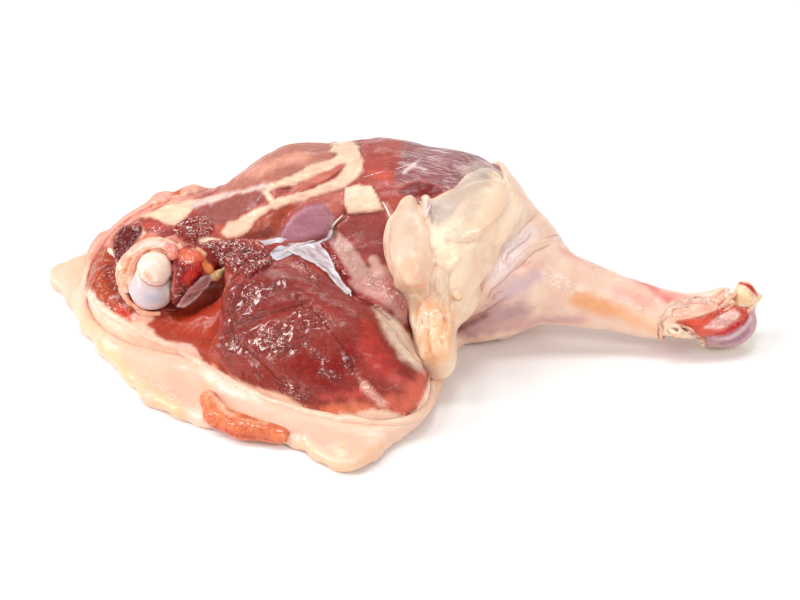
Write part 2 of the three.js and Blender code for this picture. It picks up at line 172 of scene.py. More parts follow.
def noise(points, size, seed=0, octaves=1):
    """Smooth noise with cells of this size in mm, each octave half as large and half as strong."""
    total, gain, sum_of_gains = np.zeros(len(points)), 1.0, 0.0
    for octave in range(octaves):
        place = points / np.asarray(size, float) * 2**octave + OCTAVE_SHIFT * octave
        cells = np.floor(place).astype(np.int64)
        t = place - cells
        t = t**3 * (t * (t * 6 - 15) + 10)
        for corner in np.ndindex(2, 2, 2):
            weight = np.prod(np.where(corner, t, 1 - t), axis=1)
            total += gain * weight * lattice(cells + np.array(corner), seed + octave)
        sum_of_gains += gain
        gain *= 0.5
    return total / sum_of_gains


def turned(points, degrees):
    """The points seen in a frame turned about Z, for noise that runs along a slanted direction."""
    c, s = math.cos(math.radians(degrees)), math.sin(math.radians(degrees))
    return points @ np.array([[c, -s, 0], [s, c, 0], [0, 0, 1]])


print("noise at three points:", noise(np.array([[0, 0, 0], [1, 2, 3], [9, 9, 9.0]]), 4).round(2))

# %% [markdown]
# ## Strokes
# Streaks, creases and bands are long soft-edged shapes, so each of them is one stroke: a line of
# points with a radius at each. A muscle or a patch of fat is an outline. The distance to a stroke
# or to an outline tells how strongly it raises, sinks or colours the surface there.

# %% Strokes
FAR = 1e9  # mm, farther than anything


def smoothstep(x):
    """0 below 0, 1 above 1 and a smooth step between them."""
    x = np.clip(x, 0, 1)
    return x * x * (3 - 2 * x)


def distance_to(points, stroke):
    """Distance in mm to a stroke with rows of x, y, z and radius, negative inside it."""
    best = np.full(len(points), FAR)
    for a, b in zip(stroke, stroke[1:] if len(stroke) > 1 else stroke):
        along = b[:3] - a[:3]
        t = np.clip((points - a[:3]) @ along / max(along @ along, 1e-9), 0, 1)
        reach = np.linalg.norm(points - a[:3] - t[:, None] * along, axis=1)
        best = np.minimum(best, reach - a[3] - t * (b[3] - a[3]))
    return best


def depth_in(points, outline):
    """How deep flat points lie within an outline, negative outside it."""
    x, y = points.T
    within, away = np.zeros(len(points), bool), np.full(len(points), FAR)
    for (ax, ay), (bx, by) in zip(outline, outline[1:] + outline[:1]):
        if ay != by:
            within ^= ((ay > y) != (by > y)) & (x < ax + (bx - ax) * (y - ay) / (by - ay))
        t = ((x - ax) * (bx - ax) + (y - ay) * (by - ay)) / ((bx - ax) ** 2 + (by - ay) ** 2)
        t = np.clip(t, 0, 1)
        away = np.minimum(away, np.hypot(x - ax - t * (bx - ax), y - ay - t * (by - ay)))
    return np.where(within, away, -away)


def srgb(red, green, blue):
    """A colour given as on a screen, 0 to 255, as the light values that a shader needs."""
    share = np.array([red, green, blue]) / 255
    return np.where(share < 0.04045, share / 12.92, ((share + 0.055) / 1.055) ** 2.4)


def mottled(colour, pattern, light, dark):
    """A colour for every vertex: a pattern from -1 to 1 moves it along the way from dark to light."""
    return srgb(*colour) + pattern[:, None] * (srgb(*light) - srgb(*dark))


def laid(forms):
    """Named forms as a list. A form that doesn't end in its points takes the outline of its name."""
    return [
        form if isinstance(form[-1], list) else (*form, OUTLINES[name]) for name, form in forms.items()
    ]


print("a middle grey as light values:", srgb(128, 128, 128).round(3))

# %% [markdown]
# ## Tissues
# A tissue is a fine, even mesh made from one of the solids: its coarse faces are rounded off by
# subdivision, cut up again into small even squares, and evened out. After that every
# vertex can be moved along its normal and can carry a colour and a wetness. Sculpting by hand
# would look alike, but couldn't be run again, and a displacement map needs an unfolded surface.

# %% Tissues
SUBDIVISIONS = 2
EVEN = (0.5, -0.52)  # a smoothing step towards the neighbours, and one back out
MELT = (0.5,)  # the step towards them alone, which rounds and shrinks
SEARCHES = 6  # tries to find the place that a ray just misses
HOLD = 0.7  # share of a gap's reach over which the pull towards another tissue grows
TURNING = 5  # how quickly a surface counts as turned away from the camera
TAPER = 4  # points of the picture over which an engraved line fades at its ends
FORM_FRAY = 0.3  # mm that the edge of a form wanders
ZONE_FRAY = 0.8  # mm that the edge of a wet or torn zone wanders


def keep_numbers(mesh, name, values):
    """Keeps one number for every vertex."""
    full = np.array(np.broadcast_to(values, len(mesh.vertices)), np.float32)
    mesh.attributes.new(name, "FLOAT", "POINT").data.foreach_set("value", full)


def keep_colours(mesh, colours):
    """Keeps one colour for every vertex."""
    full = np.concatenate([np.clip(colours, 0, 1), np.ones((len(colours), 1))], 1)
    layer = mesh.attributes.new("tint", "FLOAT_COLOR", "POINT")
    layer.data.foreach_set("color", full.astype(np.float32).ravel())


def rides(piece):
    """Puts a finished piece on the root body and prints how many faces it has."""
    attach(piece, "root")
    print(piece.name, "has", len(piece.data.polygons), "faces")


class Tissue:
    """A fine mesh of one tissue. Places are in mm."""

    def __init__(self, name, mesh, grain, levels=SUBDIVISIONS, rounds=8):
        mesh = mesh.copy()
        tidy = bmesh.new()
        tidy.from_mesh(mesh)
        bmesh.ops.remove_doubles(tidy, verts=tidy.verts, dist=1e-7)
        tidy.to_mesh(mesh)
        tidy.free()
        mesh.materials.clear()
        rough = placed(name + "_rough", mesh)
        if levels:
            rounder = rough.modifiers.new("rounder", "SUBSURF")
            rounder.levels = rounder.render_levels = levels
        cutter = rough.modifiers.new("cutter", "REMESH")
        cutter.mode, cutter.voxel_size = "VOXEL", grain * MM
        graph = bpy.context.evaluated_depsgraph_get()
        fine = bpy.data.meshes.new_from_object(rough.evaluated_get(graph))
        bpy.data.objects.remove(rough)
        self.object = placed(name, fine)
        self.places = self._read(fine.vertices, "co") / MM
        self.edges = np.zeros(len(fine.edges) * 2, np.int32)
        fine.edges.foreach_get("vertices", self.edges)
        self.edges = self.edges.reshape(-1, 2)
        self.smooth(rounds)
        faces = [face.vertices[:] for face in fine.polygons]
        self.tree = BVHTree.FromPolygons(self.places.tolist(), faces)
        self.ragged = noise(self.places, 2.2, 5, 3)

    def _read(self, items, what):
        values = np.zeros(len(items) * 3, np.float32)
        items.foreach_get(what, values)
        return values.reshape(-1, 3).astype(float)

    def settle(self):
        """Writes the places back to the mesh and reads its new normals."""
        mesh = self.object.data
        mesh.vertices.foreach_set("co", (self.places * MM).astype(np.float32).ravel())
        mesh.update()
        self.normals = self._read(mesh.vertex_normals, "vector")

    def smooth(self, rounds, steps=EVEN):
        """Evens the surface out, and then pushes it back, so that it doesn't shrink."""
        ends, others = self.edges.T.ravel(), self.edges[:, ::-1].T.ravel()
        degree = np.bincount(ends, minlength=len(self.places))[:, None]
        for step in steps * rounds:
            sums = [np.bincount(ends, self.places[others, k], len(self.places)) for k in range(3)]
            self.places += step * (np.stack(sums, 1) / degree - self.places)
        self.settle()

    def shift(self, heights):
        """Moves every vertex along its normal by a height in mm."""
        self.places += self.normals * np.asarray(heights)[:, None]
        self.settle()

    def spot(self, x, y):
        """The place on this tissue that a point of the picture shows, or the nearest to it."""
        ray = sight(x, y)
        hit = self.tree.ray_cast(Vector(EYE), Vector(ray))[0]
        if hit:
            return np.array(hit)
        reach = DISTANCE
        for _ in range(SEARCHES):
            near = self.tree.find_nearest(Vector(EYE + reach * ray))[0]
            reach = (np.array(near) - EYE) @ ray
        return np.array(near)

    def stroke(self, *points):
        """A stroke laid on this tissue, from points of the picture with a radius in mm each."""
        return np.array([[*self.spot(x, y), radius] for x, y, radius in points])

    def finish(self, material, slot, *nodes, colours, wet, crumbly):
        """Gives the tissue its looks, its body and the solids that it stands for."""
        mesh = self.object.data
        keep_colours(mesh, colours)
        keep_numbers(mesh, "wet", wet)
        # crumbly also tells the shader where to paint white sparks as glints
        keep_numbers(mesh, "crumbly", crumbly)
        mesh.materials.clear()
        mesh.materials.append(material)
        mesh.shade_smooth()
        rides(self.object)
        if nodes:
            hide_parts(*nodes)

    def gap_to(self, other, reach):
        """For every vertex the nearest place on another tissue and how far off it is."""
        nearest, gaps = self.places.copy(), np.full(len(self.places), float(reach))
        for index, place in enumerate(self.places.tolist()):
            found = other.tree.find_nearest(place, reach)
            if found[0]:
                nearest[index], gaps[index] = found[0], found[3]
        return nearest, gaps

    def hug(self, other, reach, sink):
        """Closes the gap to another tissue, so that the two lie on each other."""
        nearest, gaps = self.gap_to(other, reach)
        share = smoothstep((reach - gaps) / (HOLD * reach))[:, None]
        way = (nearest - self.places) / np.maximum(gaps, 1e-3)[:, None]
        self.places += way * share * (gaps[:, None] + sink)
        self.settle()
        return gaps

    def front(self):
        """1 where the surface faces the camera, fading to 0 where it turns away."""
        towards = (EYE - self.places) / np.linalg.norm(EYE - self.places, axis=1)[:, None]
        return smoothstep(TURNING * (self.normals * towards).sum(1))

    def engrave(self, lines):
        """Keeps the signed distance to the nearest of some thin lines, for the shader to draw.

        A line is a strength and points of the picture. The shader draws it as painted shade, darker
        and redder, and sinks it with a bump. A signed distance runs straight through
        zero, so the drawn line stays sharper than the mesh is fine.
        """
        spots, near = seen(self.places), np.full(len(self.places), FAR)
        side, deep = near.copy(), np.zeros(len(near))
        for strength, line in lines.values():
            line = np.array(line, float)
            runs = np.linalg.norm(np.diff(line, axis=0), axis=1)
            for a, b, run, done in zip(line, line[1:], runs, np.cumsum(runs) - runs):
                along = (b - a) / run
                t = np.clip((spots - a) @ along, 0, run)
                off = spots - a - t[:, None] * along
                away = np.hypot(*off.T)
                turn = np.where(off @ np.array([-along[1], along[0]]) < 0, -1, 1)
                taper = smoothstep(np.minimum(done + t, runs.sum() - done - t) / TAPER)
                closer = away < near
                near[closer], side[closer] = away[closer], (away * turn)[closer]
                deep[closer] = (strength * taper)[closer]
        keep_numbers(self.object.data, "side", side * PIXEL)
        keep_numbers(self.object.data, "deep", deep * self.front())

    def cover(self, soft, ragged, points):
        """How much of a stroke or an outline covers each vertex, with a soft and ragged edge."""
        if len(points[0]) == 3:
            edge = -distance_to(self.places, self.stroke(*points))
            return smoothstep(0.5 + (edge + ragged * self.ragged) / soft)
        edge = PIXEL * depth_in(seen(self.places), points)
        return self.front() * smoothstep(0.5 + (edge + ragged * self.ragged) / soft)

    def relief(self, forms):
        """The height in mm of named strokes and outlines: full inside them, fading outside."""
        heights = np.zeros(len(self.places))
        for height, soft, points in laid(forms):
            if len(points[0]) == 3:
                away = np.maximum(distance_to(self.places, self.stroke(*points)), 0)
                heights += height * np.exp(-((away / soft) ** 2))
            else:
                heights += height * self.cover(soft, FORM_FRAY, points)
        return heights

    def washed(self, ground, washes):
        """Named strokes painted over one ground or a ground for each vertex, in their order."""
        colours = np.array(np.broadcast_to(ground, self.places.shape), float)
        for colour, soft, ragged, points in laid(washes):
            share = self.cover(soft, ragged, points)[:, None]
            colours = colours * (1 - share) + srgb(*colour) * share
        return colours

    def marked(self, ground, zones):
        """One number for every vertex, given by named strokes."""
        values = np.full(len(self.places), float(ground))
        for value, soft, points in laid(zones):
            share = self.cover(soft, ZONE_FRAY, points)
            values = values * (1 - share) + value * share
        return values

# %% [markdown]
# ## Shader kit
# A material is a small sum: a colour, times some mottling, plus a few fibres. So that it can be
# written down as one, every node output is wrapped in a class that knows the signs + - * and **,
# and one method adds any other node. Wiring the same trees by hand takes ten times the lines and
# hides what they compute.

# %% Shader kit
class Wire:
    """An output of a shader node, with arithmetic."""

    def __init__(self, shader, socket):
        self.shader, self.socket = shader, socket

    def _math(self, operation, first, second):
        return self.shader.node("ShaderNodeMath", {"operation": operation}, {0: first, 1: second})

    def __add__(self, other):
        return self._math("ADD", self, other)

    def __sub__(self, other):
        return self._math("SUBTRACT", self, other)

    def __rsub__(self, other):
        return self._math("SUBTRACT", other, self)

    def __mul__(self, other):
        return self._math("MULTIPLY", self, other)

    def __pow__(self, other):
        return self._math("POWER", self, other)

    def __abs__(self):
        return self.shader.node("ShaderNodeMath", {"operation": "ABSOLUTE"}, {0: self})

    __radd__, __rmul__ = __add__, __mul__

    def ramp(self, low, high):
        """0 below low, 1 above high, and a smooth step between them."""
        settings = {"interpolation_type": "SMOOTHSTEP"}
        return self.shader.node("ShaderNodeMapRange", settings, {0: self, 1: low, 2: high})


class Kit:
    """A node tree under construction."""

    def node(self, kind, settings=None, inputs=None, output=0):
        """Adds a node: its settings first, then its inputs, by name, number or identifier."""
        made = self.tree.nodes.new(kind)
        for name, value in (settings or {}).items():
            setattr(made, name, value)
        self.feed(made, inputs or {})
        return Wire(self, made.outputs[output])

    def feed(self, node, inputs):
        """Links or sets the inputs of a node. A colour may leave out its last value, 1."""
        for key, value in inputs.items():
            named = {socket.identifier: socket for socket in node.inputs}
            socket = named[key] if key in named else node.inputs[key]
            if isinstance(value, Wire):
                self.tree.links.new(value.socket, socket)
            elif isinstance(value, (tuple, list, np.ndarray)):
                socket.default_value = [*value, 1.0][: len(socket.default_value)]
            else:
                socket.default_value = value


class Shader(Kit):
    """A material under construction."""

    def __init__(self, name):
        self.material = bpy.data.materials.new(name)
        self.material.use_nodes = True
        self.tree = self.material.node_tree
        self.surface = self.tree.nodes["Principled BSDF"]

    def mix(self, share, a, b, blend="MIX"):
        settings = {"data_type": "RGBA", "blend_type": blend}
        inputs = {"Factor_Float": share, "A_Color": a, "B_Color": b}
        return self.node("ShaderNodeMix", settings, inputs, 2)

    def mark(self, name, colour=False):
        """A value or a colour that the vertices carry."""
        settings = {"attribute_type": "GEOMETRY", "attribute_name": name}
        return self.node("ShaderNodeAttribute", settings, output=0 if colour else 2)

    def place(self, size, turn=0.0):
        """Object coordinates counted in cells of this size in mm, turned about Z by degrees."""
        spot = self.node("ShaderNodeTexCoord", output=3)
        cells = tuple(1 / (MM * length) for length in np.broadcast_to(size, 3))
        inputs = {"Vector": spot, "Rotation": (0, 0, math.radians(turn)), "Scale": (1, 1, 1)}
        straight = self.node("ShaderNodeMapping", {"vector_type": "POINT"}, inputs)
        return self.node("ShaderNodeMapping", {"vector_type": "POINT"}, {0: straight, 3: cells})

    def noise(self, size, detail=2.0, turn=0.0, distortion=0.0):
        inputs = {"Vector": self.place(size, turn), "Scale": 1.0, "Detail": detail}
        return self.node("ShaderNodeTexNoise", inputs={**inputs, "Distortion": distortion})

    def bump(self, height, distance):
        """A normal for a height that runs from 0 to 1 over this distance in mm."""
        inputs = {"Height": height, "Distance": distance * MM, "Strength": 1.0}
        return self.node("ShaderNodeBump", inputs=inputs)

    def finish(self, **inputs):
        """Sets the surface: names are those of its sockets, with _ for a space."""
        self.feed(self.surface, {name.replace("_", " "): v for name, v in inputs.items()})
        return self.material


# %% [markdown]
# ## The table
# A plain white sheet under everything. It is so bright that only the soft shadow close to the leg
# shows on it.

# %% The table
paper = Shader("table")
paper.finish(Base_Color=(0.95, 0.95, 0.95), Roughness=0.9, Specular_IOR_Level=0.1)
bpy.ops.mesh.primitive_plane_add(size=6, location=(0, 0, cad_box[0][2]))
table = bpy.context.object
table.name = "table"
table.data.materials.append(paper.material)

# %% [markdown]
# ## Wet flesh
# Muscle, fat, cartilage and skin differ in colour and in how far light gets into them, but all of
# them are wet, so they share one recipe. The painted colour is mottled by soft noise, and a fibre
# noise draws the grain. A wet coat in plates mirrors the lamps, and the cracks between the plates
# and the engraved creases are darkened as painted shade. On crumbly, torn places white sparks are
# painted into the colour as glints that are too fine for the coat.

# %% Wet flesh
MEMBRANE_STRINGS = srgb(232, 214, 212)
PAINTED_GLINT = srgb(255, 232, 222)


def flesh(name, mottle, grain, relief, rough, glow, scatter=(1.0, 0.35, 0.2), shine=0.5):
    """A wet tissue: mottle and relief are strengths, grain a fibre size in mm, glow a depth in mm."""
    shader = Shader(name)
    tint = shader.mark("tint", colour=True)
    wet = shader.mark("wet")
    crumbly = shader.mark("crumbly")
    patches = shader.noise(3.1, 3, distortion=0.6)
    fibres = shader.noise(grain, 2)
    light = (patches - 0.5) * (1.6 * mottle) + (fibres - 0.5) * (1.3 * mottle) + 1.0
    cracks = abs(shader.noise(3.4, 3, distortion=1.2) - 0.5)
    plates = cracks.ramp(0.0, 0.08)
    groove = shader.mark("deep") * (1.0 - abs(shader.mark("side")).ramp(0.04, 0.42))
    # painted shade: the cracks between the wet plates and the engraved creases are darkened
    light = light * (1.0 - wet * 0.2 * (1.0 - plates)) * (1.0 - 0.3 * groove)
    # painted shade: the engraved creases also turn a deeper red
    redder = light ** (1.3 + 1.4 * groove)
    shade = shader.node("ShaderNodeCombineColor", inputs={0: light, 1: redder, 2: redder})
    colour = shader.mix(1.0, tint, shade, "MULTIPLY")
    strings = shader.mark("streaky") * shader.noise((9, 0.3, 0.3), 2, 24).ramp(0.5, 0.66)
    colour = shader.mix(strings, colour, MEMBRANE_STRINGS)
    # painted glints: white sparks mixed into the colour on crumbly places
    painted_glints = shader.noise((1.4, 0.9, 0.9), 2, 30, distortion=1.6).ramp(0.58, 0.64)
    colour = shader.mix(crumbly * painted_glints * 0.85, colour, PAINTED_GLINT)
    crumbs = shader.noise(1.2, 2)
    height = fibres * (1.0 - wet) * 0.12 + wet * 0.5 * plates + crumbly * crumbs * 1.2 - groove * 0.7
    return shader.finish(
        Base_Color=colour,
        Roughness=rough - wet * (0.5 * rough) - crumbly * (0.6 * rough) + (patches - 0.5) * 0.14,
        Normal=shader.bump(height, relief),
        Subsurface_Weight=0.25,
        Subsurface_Radius=scatter,
        Subsurface_Scale=glow * MM,
        Specular_IOR_Level=shine,
        Coat_Weight=wet * plates,
        Coat_Roughness=0.06,
    )


muscle = flesh("muscle", 0.22, (5, 0.8, 0.8), 0.5, 0.32, 2.0, shine=0.3)
fatty = flesh("fat", 0.07, (1.6, 1.6, 1.6), 0.3, 0.34, 3.0, (1.0, 0.6, 0.4))
hide = flesh("hide", 0.06, (2.4, 2.4, 2.4), 0.25, 0.36, 3.0, (1.0, 0.5, 0.35))
gristle = flesh("gristle", 0.04, (3.0, 3.0, 3.0), 0.1, 0.3, 3.0, (1.0, 0.7, 0.55))
print("materials:", [material.name for material in bpy.data.materials])

# %% [markdown]
# ## Strands and small lumps
# Tendons, vessels and rolled edges are tubes that follow a path over the leg. A node tree strings
# balls along the path so closely that they touch, as thick as the path says at each place. Cutting
# the string up into a fine mesh and evening it out melts the balls into one smooth strand.

# %% Strands and small lumps
class Growth(Kit):
    """A geometry tree under construction, with named inputs."""

    def __init__(self, name, sizes):
        self.tree = bpy.data.node_groups.new(name, "GeometryNodeTree")
        ports = self.tree.interface
        ports.new_socket("Geometry", in_out="INPUT", socket_type="NodeSocketGeometry")
        ports.new_socket("Geometry", in_out="OUTPUT", socket_type="NodeSocketGeometry")
        for size in sizes:
            ports.new_socket(size, in_out="INPUT", socket_type="NodeSocketFloat")
        ports.new_socket("Material", in_out="INPUT", socket_type="NodeSocketMaterial")
        entry = self.tree.nodes.new("NodeGroupInput")
        self.input = {socket.name: Wire(self, socket) for socket in entry.outputs if socket.name}

    def attribute(self, name):
        return self.node("GeometryNodeInputNamedAttribute", {"data_type": "FLOAT"}, {"Name": name})

    def close(self, instances):
        """Ends the tree with real geometry that has its material."""
        real = self.node("GeometryNodeRealizeInstances", inputs={0: instances})
        inputs = {"Geometry": real, "Material": self.input["Material"]}
        dressed = self.node("GeometryNodeSetMaterial", inputs=inputs)
        end = self.tree.nodes.new("NodeGroupOutput")
        self.tree.links.new(dressed.socket, end.inputs[0])

    def grow(self, name, mesh, material, **sizes):
        """Runs the tree on a mesh and returns the plain mesh that it makes."""
        holder = placed(name, mesh)
        grower = holder.modifiers.new("growth", "NODES")
        grower.node_group = self.tree
        values = {**sizes, "Material": material}
        for port in self.tree.interface.items_tree:
            if port.in_out == "INPUT" and port.name in values:
                grower[port.identifier] = values[port.name]
        holder.update_tag()
        graph = bpy.context.evaluated_depsgraph_get()
        made = bpy.data.meshes.new_from_object(holder.evaluated_get(graph))
        holder.modifiers.remove(grower)
        bpy.data.objects.remove(holder)
        return made


string = Growth("string of balls", ["Spacing"])
curve = string.node("GeometryNodeMeshToCurve", inputs={"Mesh": string.input["Geometry"]})
curve = string.node("GeometryNodeCurveSplineType", {"spline_type": "CATMULL_ROM"}, {"Curve": curve})
inputs = {"Curve": curve, "Length": string.input["Spacing"]}
curve = string.node("GeometryNodeResampleCurve", {"mode": "LENGTH"}, inputs)
ball = string.node("GeometryNodeMeshIcoSphere", inputs={"Radius": 1.0, "Subdivisions": 2})
inputs = {"Points": curve, "Instance": ball, "Scale": string.attribute("girth")}
string.close(string.node("GeometryNodeInstanceOnPoints", inputs=inputs))


def nearest_hit(x, y, tissues):
    """The place and the normal of the first tissue that a point of the picture shows."""
    ray = Vector(sight(x, y))
    hits = [tissue.tree.ray_cast(Vector(EYE), ray) for tissue in tissues]
    hits = [hit for hit in hits if hit[0]]
    if not hits:
        return np.array(tissues[0].spot(x, y)), -np.array(ray)
    place, normal = min(hits, key=lambda hit: hit[3])[:2]
    return np.array(place), np.array(normal)


def path_mesh(paths):
    """Lines in space with a girth, all in one mesh."""
    points, links, girths = [], [], []
    for path in paths:
        links += [(len(points) + i, len(points) + i + 1) for i in range(len(path) - 1)]
        points += [tuple(row[:3] * MM) for row in path]
        girths += [row[3] * MM for row in path]
    mesh = bpy.data.meshes.new("paths")
    mesh.from_pydata(points, links, [])
    keep_numbers(mesh, "girth", girths)
    return mesh


def strand_rows(tissues, lines, raised=None):
    """Rows of place and girth for lines laid on tissues.

    A line is a lift in mm and picture points with a radius.
    With raised, a place at which a raised line lies, a lift given as a share in a tuple puts the
    line between the tissues, 0, and the upright plane through that place, 1.
    """
    paths = []
    for lift, points in lines.values():
        rows = []
        for x, y, radius in points:
            place, normal = nearest_hit(x, y, tissues)
            if isinstance(lift, tuple):
                ray = sight(x, y)
                level = EYE + ray * (((raised - EYE) @ BACK) / (ray @ BACK))
                rows.append([*(place + lift[0] * (level - place)), radius])
            else:
                rows.append([*(place + normal * lift), radius])
        paths.append(np.array(rows))
    return paths


def balls_along(name, rows, material, spacing=0.35):
    """Strings of balls along rows of place and girth, spaced in mm, as a plain mesh."""
    return string.grow(name, path_mesh(rows), material, Spacing=spacing * MM)


def strands(name, grain, tissues, lines, rounds=8, raised=None):
    """Strands laid on tissues, as one fine tissue."""
    balls = balls_along(name + "_balls", strand_rows(tissues, lines, raised), muscle)
    return Tissue(name, balls, grain, levels=0, rounds=rounds)


print("the string of balls has", len(string.tree.nodes), "nodes")

# %% [markdown]
# ## The skin
# The skin is one sheet. Where it lies open its fat side shows, cream and glossy, yellow and
# translucent at the thin edges and pink where blood has run. Round the drumstick its outside
# shows: peach, with mauve shade painted on its lower left, orange patches, deep creases behind the
# knee and the dots of the plucked feathers.

# %% Skin relief
skin = Tissue("skin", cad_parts["skin"].data, 0.82)
CREASES = {
    "lowest": [(457, 325), (463, 320), (471, 317), (484, 312), (496, 304), (508, 296)],
    "second": [(487, 300), (491, 290), (498, 285), (505, 279), (511, 272), (522, 265)],
    "third": [(470, 292), (475, 283), (484, 270), (492, 259), (499, 250), (508, 235)],
    "fourth": [(504, 263), (509, 253), (518, 246), (528, 239), (532, 231)],
    "fifth": [(520, 267), (526, 260), (534, 252), (543, 248), (552, 244)],
    "sixth": [(542, 239), (553, 236), (564, 234)],
    "seventh": [(517, 236), (522, 229), (530, 221), (537, 213)],
    "ninth": [(561, 243), (568, 243), (577, 246)],
    "inner": [(492, 246), (499, 236), (503, 226)],
}
SKIN_FORMS = {
    **{name: (-0.7, 1.0, [(x, y, 0.2) for x, y in crease]) for name, crease in CREASES.items()},
    "fold one": (0.8, 1.6, [(480, 300, 0.6), (492, 276, 0.6), (506, 258, 0.6)]),
    "fold two": (0.7, 1.6, [(500, 294, 0.6), (514, 278, 0.6), (530, 262, 0.4)]),
    "fold three": (0.6, 1.4, [(512, 262, 0.4), (526, 248, 0.4), (540, 242, 0.4)]),
    "fold four": (0.5, 1.2, [(486, 258, 0.4), (496, 244, 0.5), (508, 226, 0.5), (520, 210, 0.4)]),
    "fold five": (0.5, 1.2, [(512, 244, 0.3), (524, 232, 0.4), (534, 222, 0.4)]),
    "notch": (-1.4, 1.2, [(175, 195, 0.6), (178, 204, 0.4)]),
    "thick edge": (0.5, 1.6, [(150, 398, 0.6), (176, 411, 0.8), (200, 416, 0.6)]),
    "torn fat": (0.4, 1.0, [(205, 368, 0.6), (226, 384, 0.8), (252, 396, 0.6)]),
    "back rim": (1.3, 2.0, [(160, 197, 0.8), (174, 192, 1.0), (192, 190, 0.8)]),
    "left rim": (1.4, 2.0, [(86, 262, 0.8), (93, 250, 1.0), (100, 240, 0.8)]),
}
skin_lumps = noise(skin.places, 4.5, 31, 3)
skin_folds = noise(turned(skin.places, -40), (10, 3.0, 3.0), 32, 2)
skin.shift(skin.relief(SKIN_FORMS) + 0.32 * skin_lumps + 0.25 * skin_folds)

# %% [markdown]
# ## The colours of the skin
# The fat side is cream, yellow where it is thin and pink where blood ran, and the outside is peach.
# A picture laid over the skin would smear on every side that the camera doesn't see. So each
# colour is a soft wash along a stroke, painted over a mottled ground. The creases are engraved
# and darkened as painted shade, and a mauve shade is painted on the lower left of the drumstick.

# %% Skin colours
facing = skin.normals
outside = smoothstep((skin.places[:, 0] - 14 + 6 * noise(skin.places, 6, 33)) / 12)
outside = np.maximum(outside, smoothstep(-3 * facing[:, 2] - 0.3))
outside = np.maximum(outside, smoothstep(4 * (facing[:, 1] - 0.4)))
RIM = [
    (84, 268), (88, 246), (98, 230), (116, 214), (134, 200), (150, 188), (172, 181), (224, 181),
    (224, 192), (196, 192), (172, 198), (150, 208), (130, 220), (114, 234), (104, 252), (100, 268),
]
SKIN_WASHES = {
    "fat, middle": ((243, 194, 170), 8, 2.0, [
        (110, 300, 6), (150, 350, 8), (230, 400, 8), (330, 440, 9),
    ]),
    "yellow edge": ((240, 194, 150), 3.0, 1.0, [
        (76, 306, 1.0), (104, 348, 1.4), (132, 380, 1.6), (178, 412, 2.0),
    ]),
    "yellow tip": ((242, 196, 156), 3.0, 1.0, [(300, 446, 1.2), (344, 470, 1.8), (384, 448, 1.4)]),
    "pink tip": ((244, 200, 178), 3.0, 1.0, [(48, 272, 1.4), (66, 290, 1.4)]),
    "orange fat": ((248, 208, 166), 5.0, 1.4, [(440, 350, 3.0), (432, 380, 3.0), (416, 410, 2.0)]),
    "pink by the meat": ((250, 206, 190), 3.0, 1.2, [(100, 292, 1.4), (126, 322, 1.4), (160, 338, 1.2)]),
    "by the strip": ((248, 186, 146), 1.6, 0.5, [
        (205, 386, 0.8), (214, 402, 1.2), (232, 414, 1.2), (262, 420, 0.8),
    ]),
    "tip, yellow spot": ((250, 214, 150), 0.8, 0.3, [(343, 444, 0.6)]),
    "tip, pale": ((248, 214, 188), 1.0, 0.5, [(334, 446, 1.2), (342, 454, 1.4)]),
    "rough fat": ((250, 216, 196), 2.0, 1.2, [(200, 362, 1.6), (226, 384, 2.2), (262, 398, 1.6)]),
    "rim": ((234, 162, 142), 1.6, 0.8, RIM),
    "notch": ((196, 96, 54), 0.8, 0.3, [(172, 186), (181, 186), (181, 200), (177, 205), (173, 198)]),
    "cream fold": ((255, 232, 204), 4.0, 1.0, [
        (508, 190, 3.0), (512, 210, 4.0), (498, 232, 4.0), (482, 256, 3.0),
    ]),
    "lilac folds": ((250, 224, 218), 4.0, 1.0, [(530, 230, 2.0), (514, 250, 3.0), (494, 276, 3.0)]),
    "lilac, low": ((222, 188, 190), 3.5, 1.0, [(500, 296, 2.0), (520, 284, 2.6), (536, 276, 1.6)]),
    # painted shade: mauve on the lower left of the drumstick
    "mauve": ((196, 152, 150), 5.0, 1.4, [(470, 332, 3.0), (494, 318, 4.0), (520, 312, 3.0)]),
    "pink belly": ((214, 164, 156), 5.0, 1.4, [(490, 330, 2.0), (530, 322, 2.0), (580, 320, 1.2)]),
    "orange patch": ((242, 168, 118), 3.0, 0.8, [(578, 300, 2.0), (600, 306, 2.6), (618, 312, 1.6)]),
    "pink top": ((240, 172, 158), 5.0, 1.2, [
        (566, 252, 1.6), (612, 270, 2.0), (660, 292, 2.4), (700, 300, 2.0),
    ]),
    "rosy": ((228, 128, 116), 3.0, 1.2, [(646, 284, 0.8), (668, 300, 1.2), (700, 308, 1.2)]),
    "orange shank": ((248, 186, 142), 4.0, 1.0, [(624, 316, 1.6), (652, 328, 1.6)]),
    "shank": ((242, 180, 162), 4.0, 1.0, [(620, 294, 1.6), (646, 304, 2.0), (676, 312, 1.6)]),
    # painted shade: dark purple under the lowest crease
    "below the lowest crease": ((150, 96, 98), 1.6, 0.5, [
        (458, 330, 0.6), (472, 322, 0.9), (486, 315, 0.7),
    ]),
    "sleeve end": ((222, 140, 110), 1.0, 0.4, [(660, 326, 0.6), (664, 338, 0.5)]),
}
skin_mottle = noise(skin.places, 7, 34, 3)
fat_side = mottled((245, 198, 172), 0.55 * skin_mottle, (255, 232, 214), (246, 198, 166))
drumstick = mottled((246, 204, 182), 0.5 * skin_mottle, (250, 214, 192), (228, 172, 158))
ground = fat_side + outside[:, None] * (drumstick - fat_side)
skin.engrave({
    **{name: (0.6, crease) for name, crease in CREASES.items()},
    # painted shadow: the line beside the fat is the shadow that the edge of the fat casts on the skin
    "beside the fat": (0.8, [
        (477, 262), (475, 274), (471, 288), (463, 305), (458, 318), (455, 332), (454, 350),
    ]),
    "sleeve": (1.0, [(676, 321), (664, 324), (658, 331), (659, 338), (664, 344)]),
})
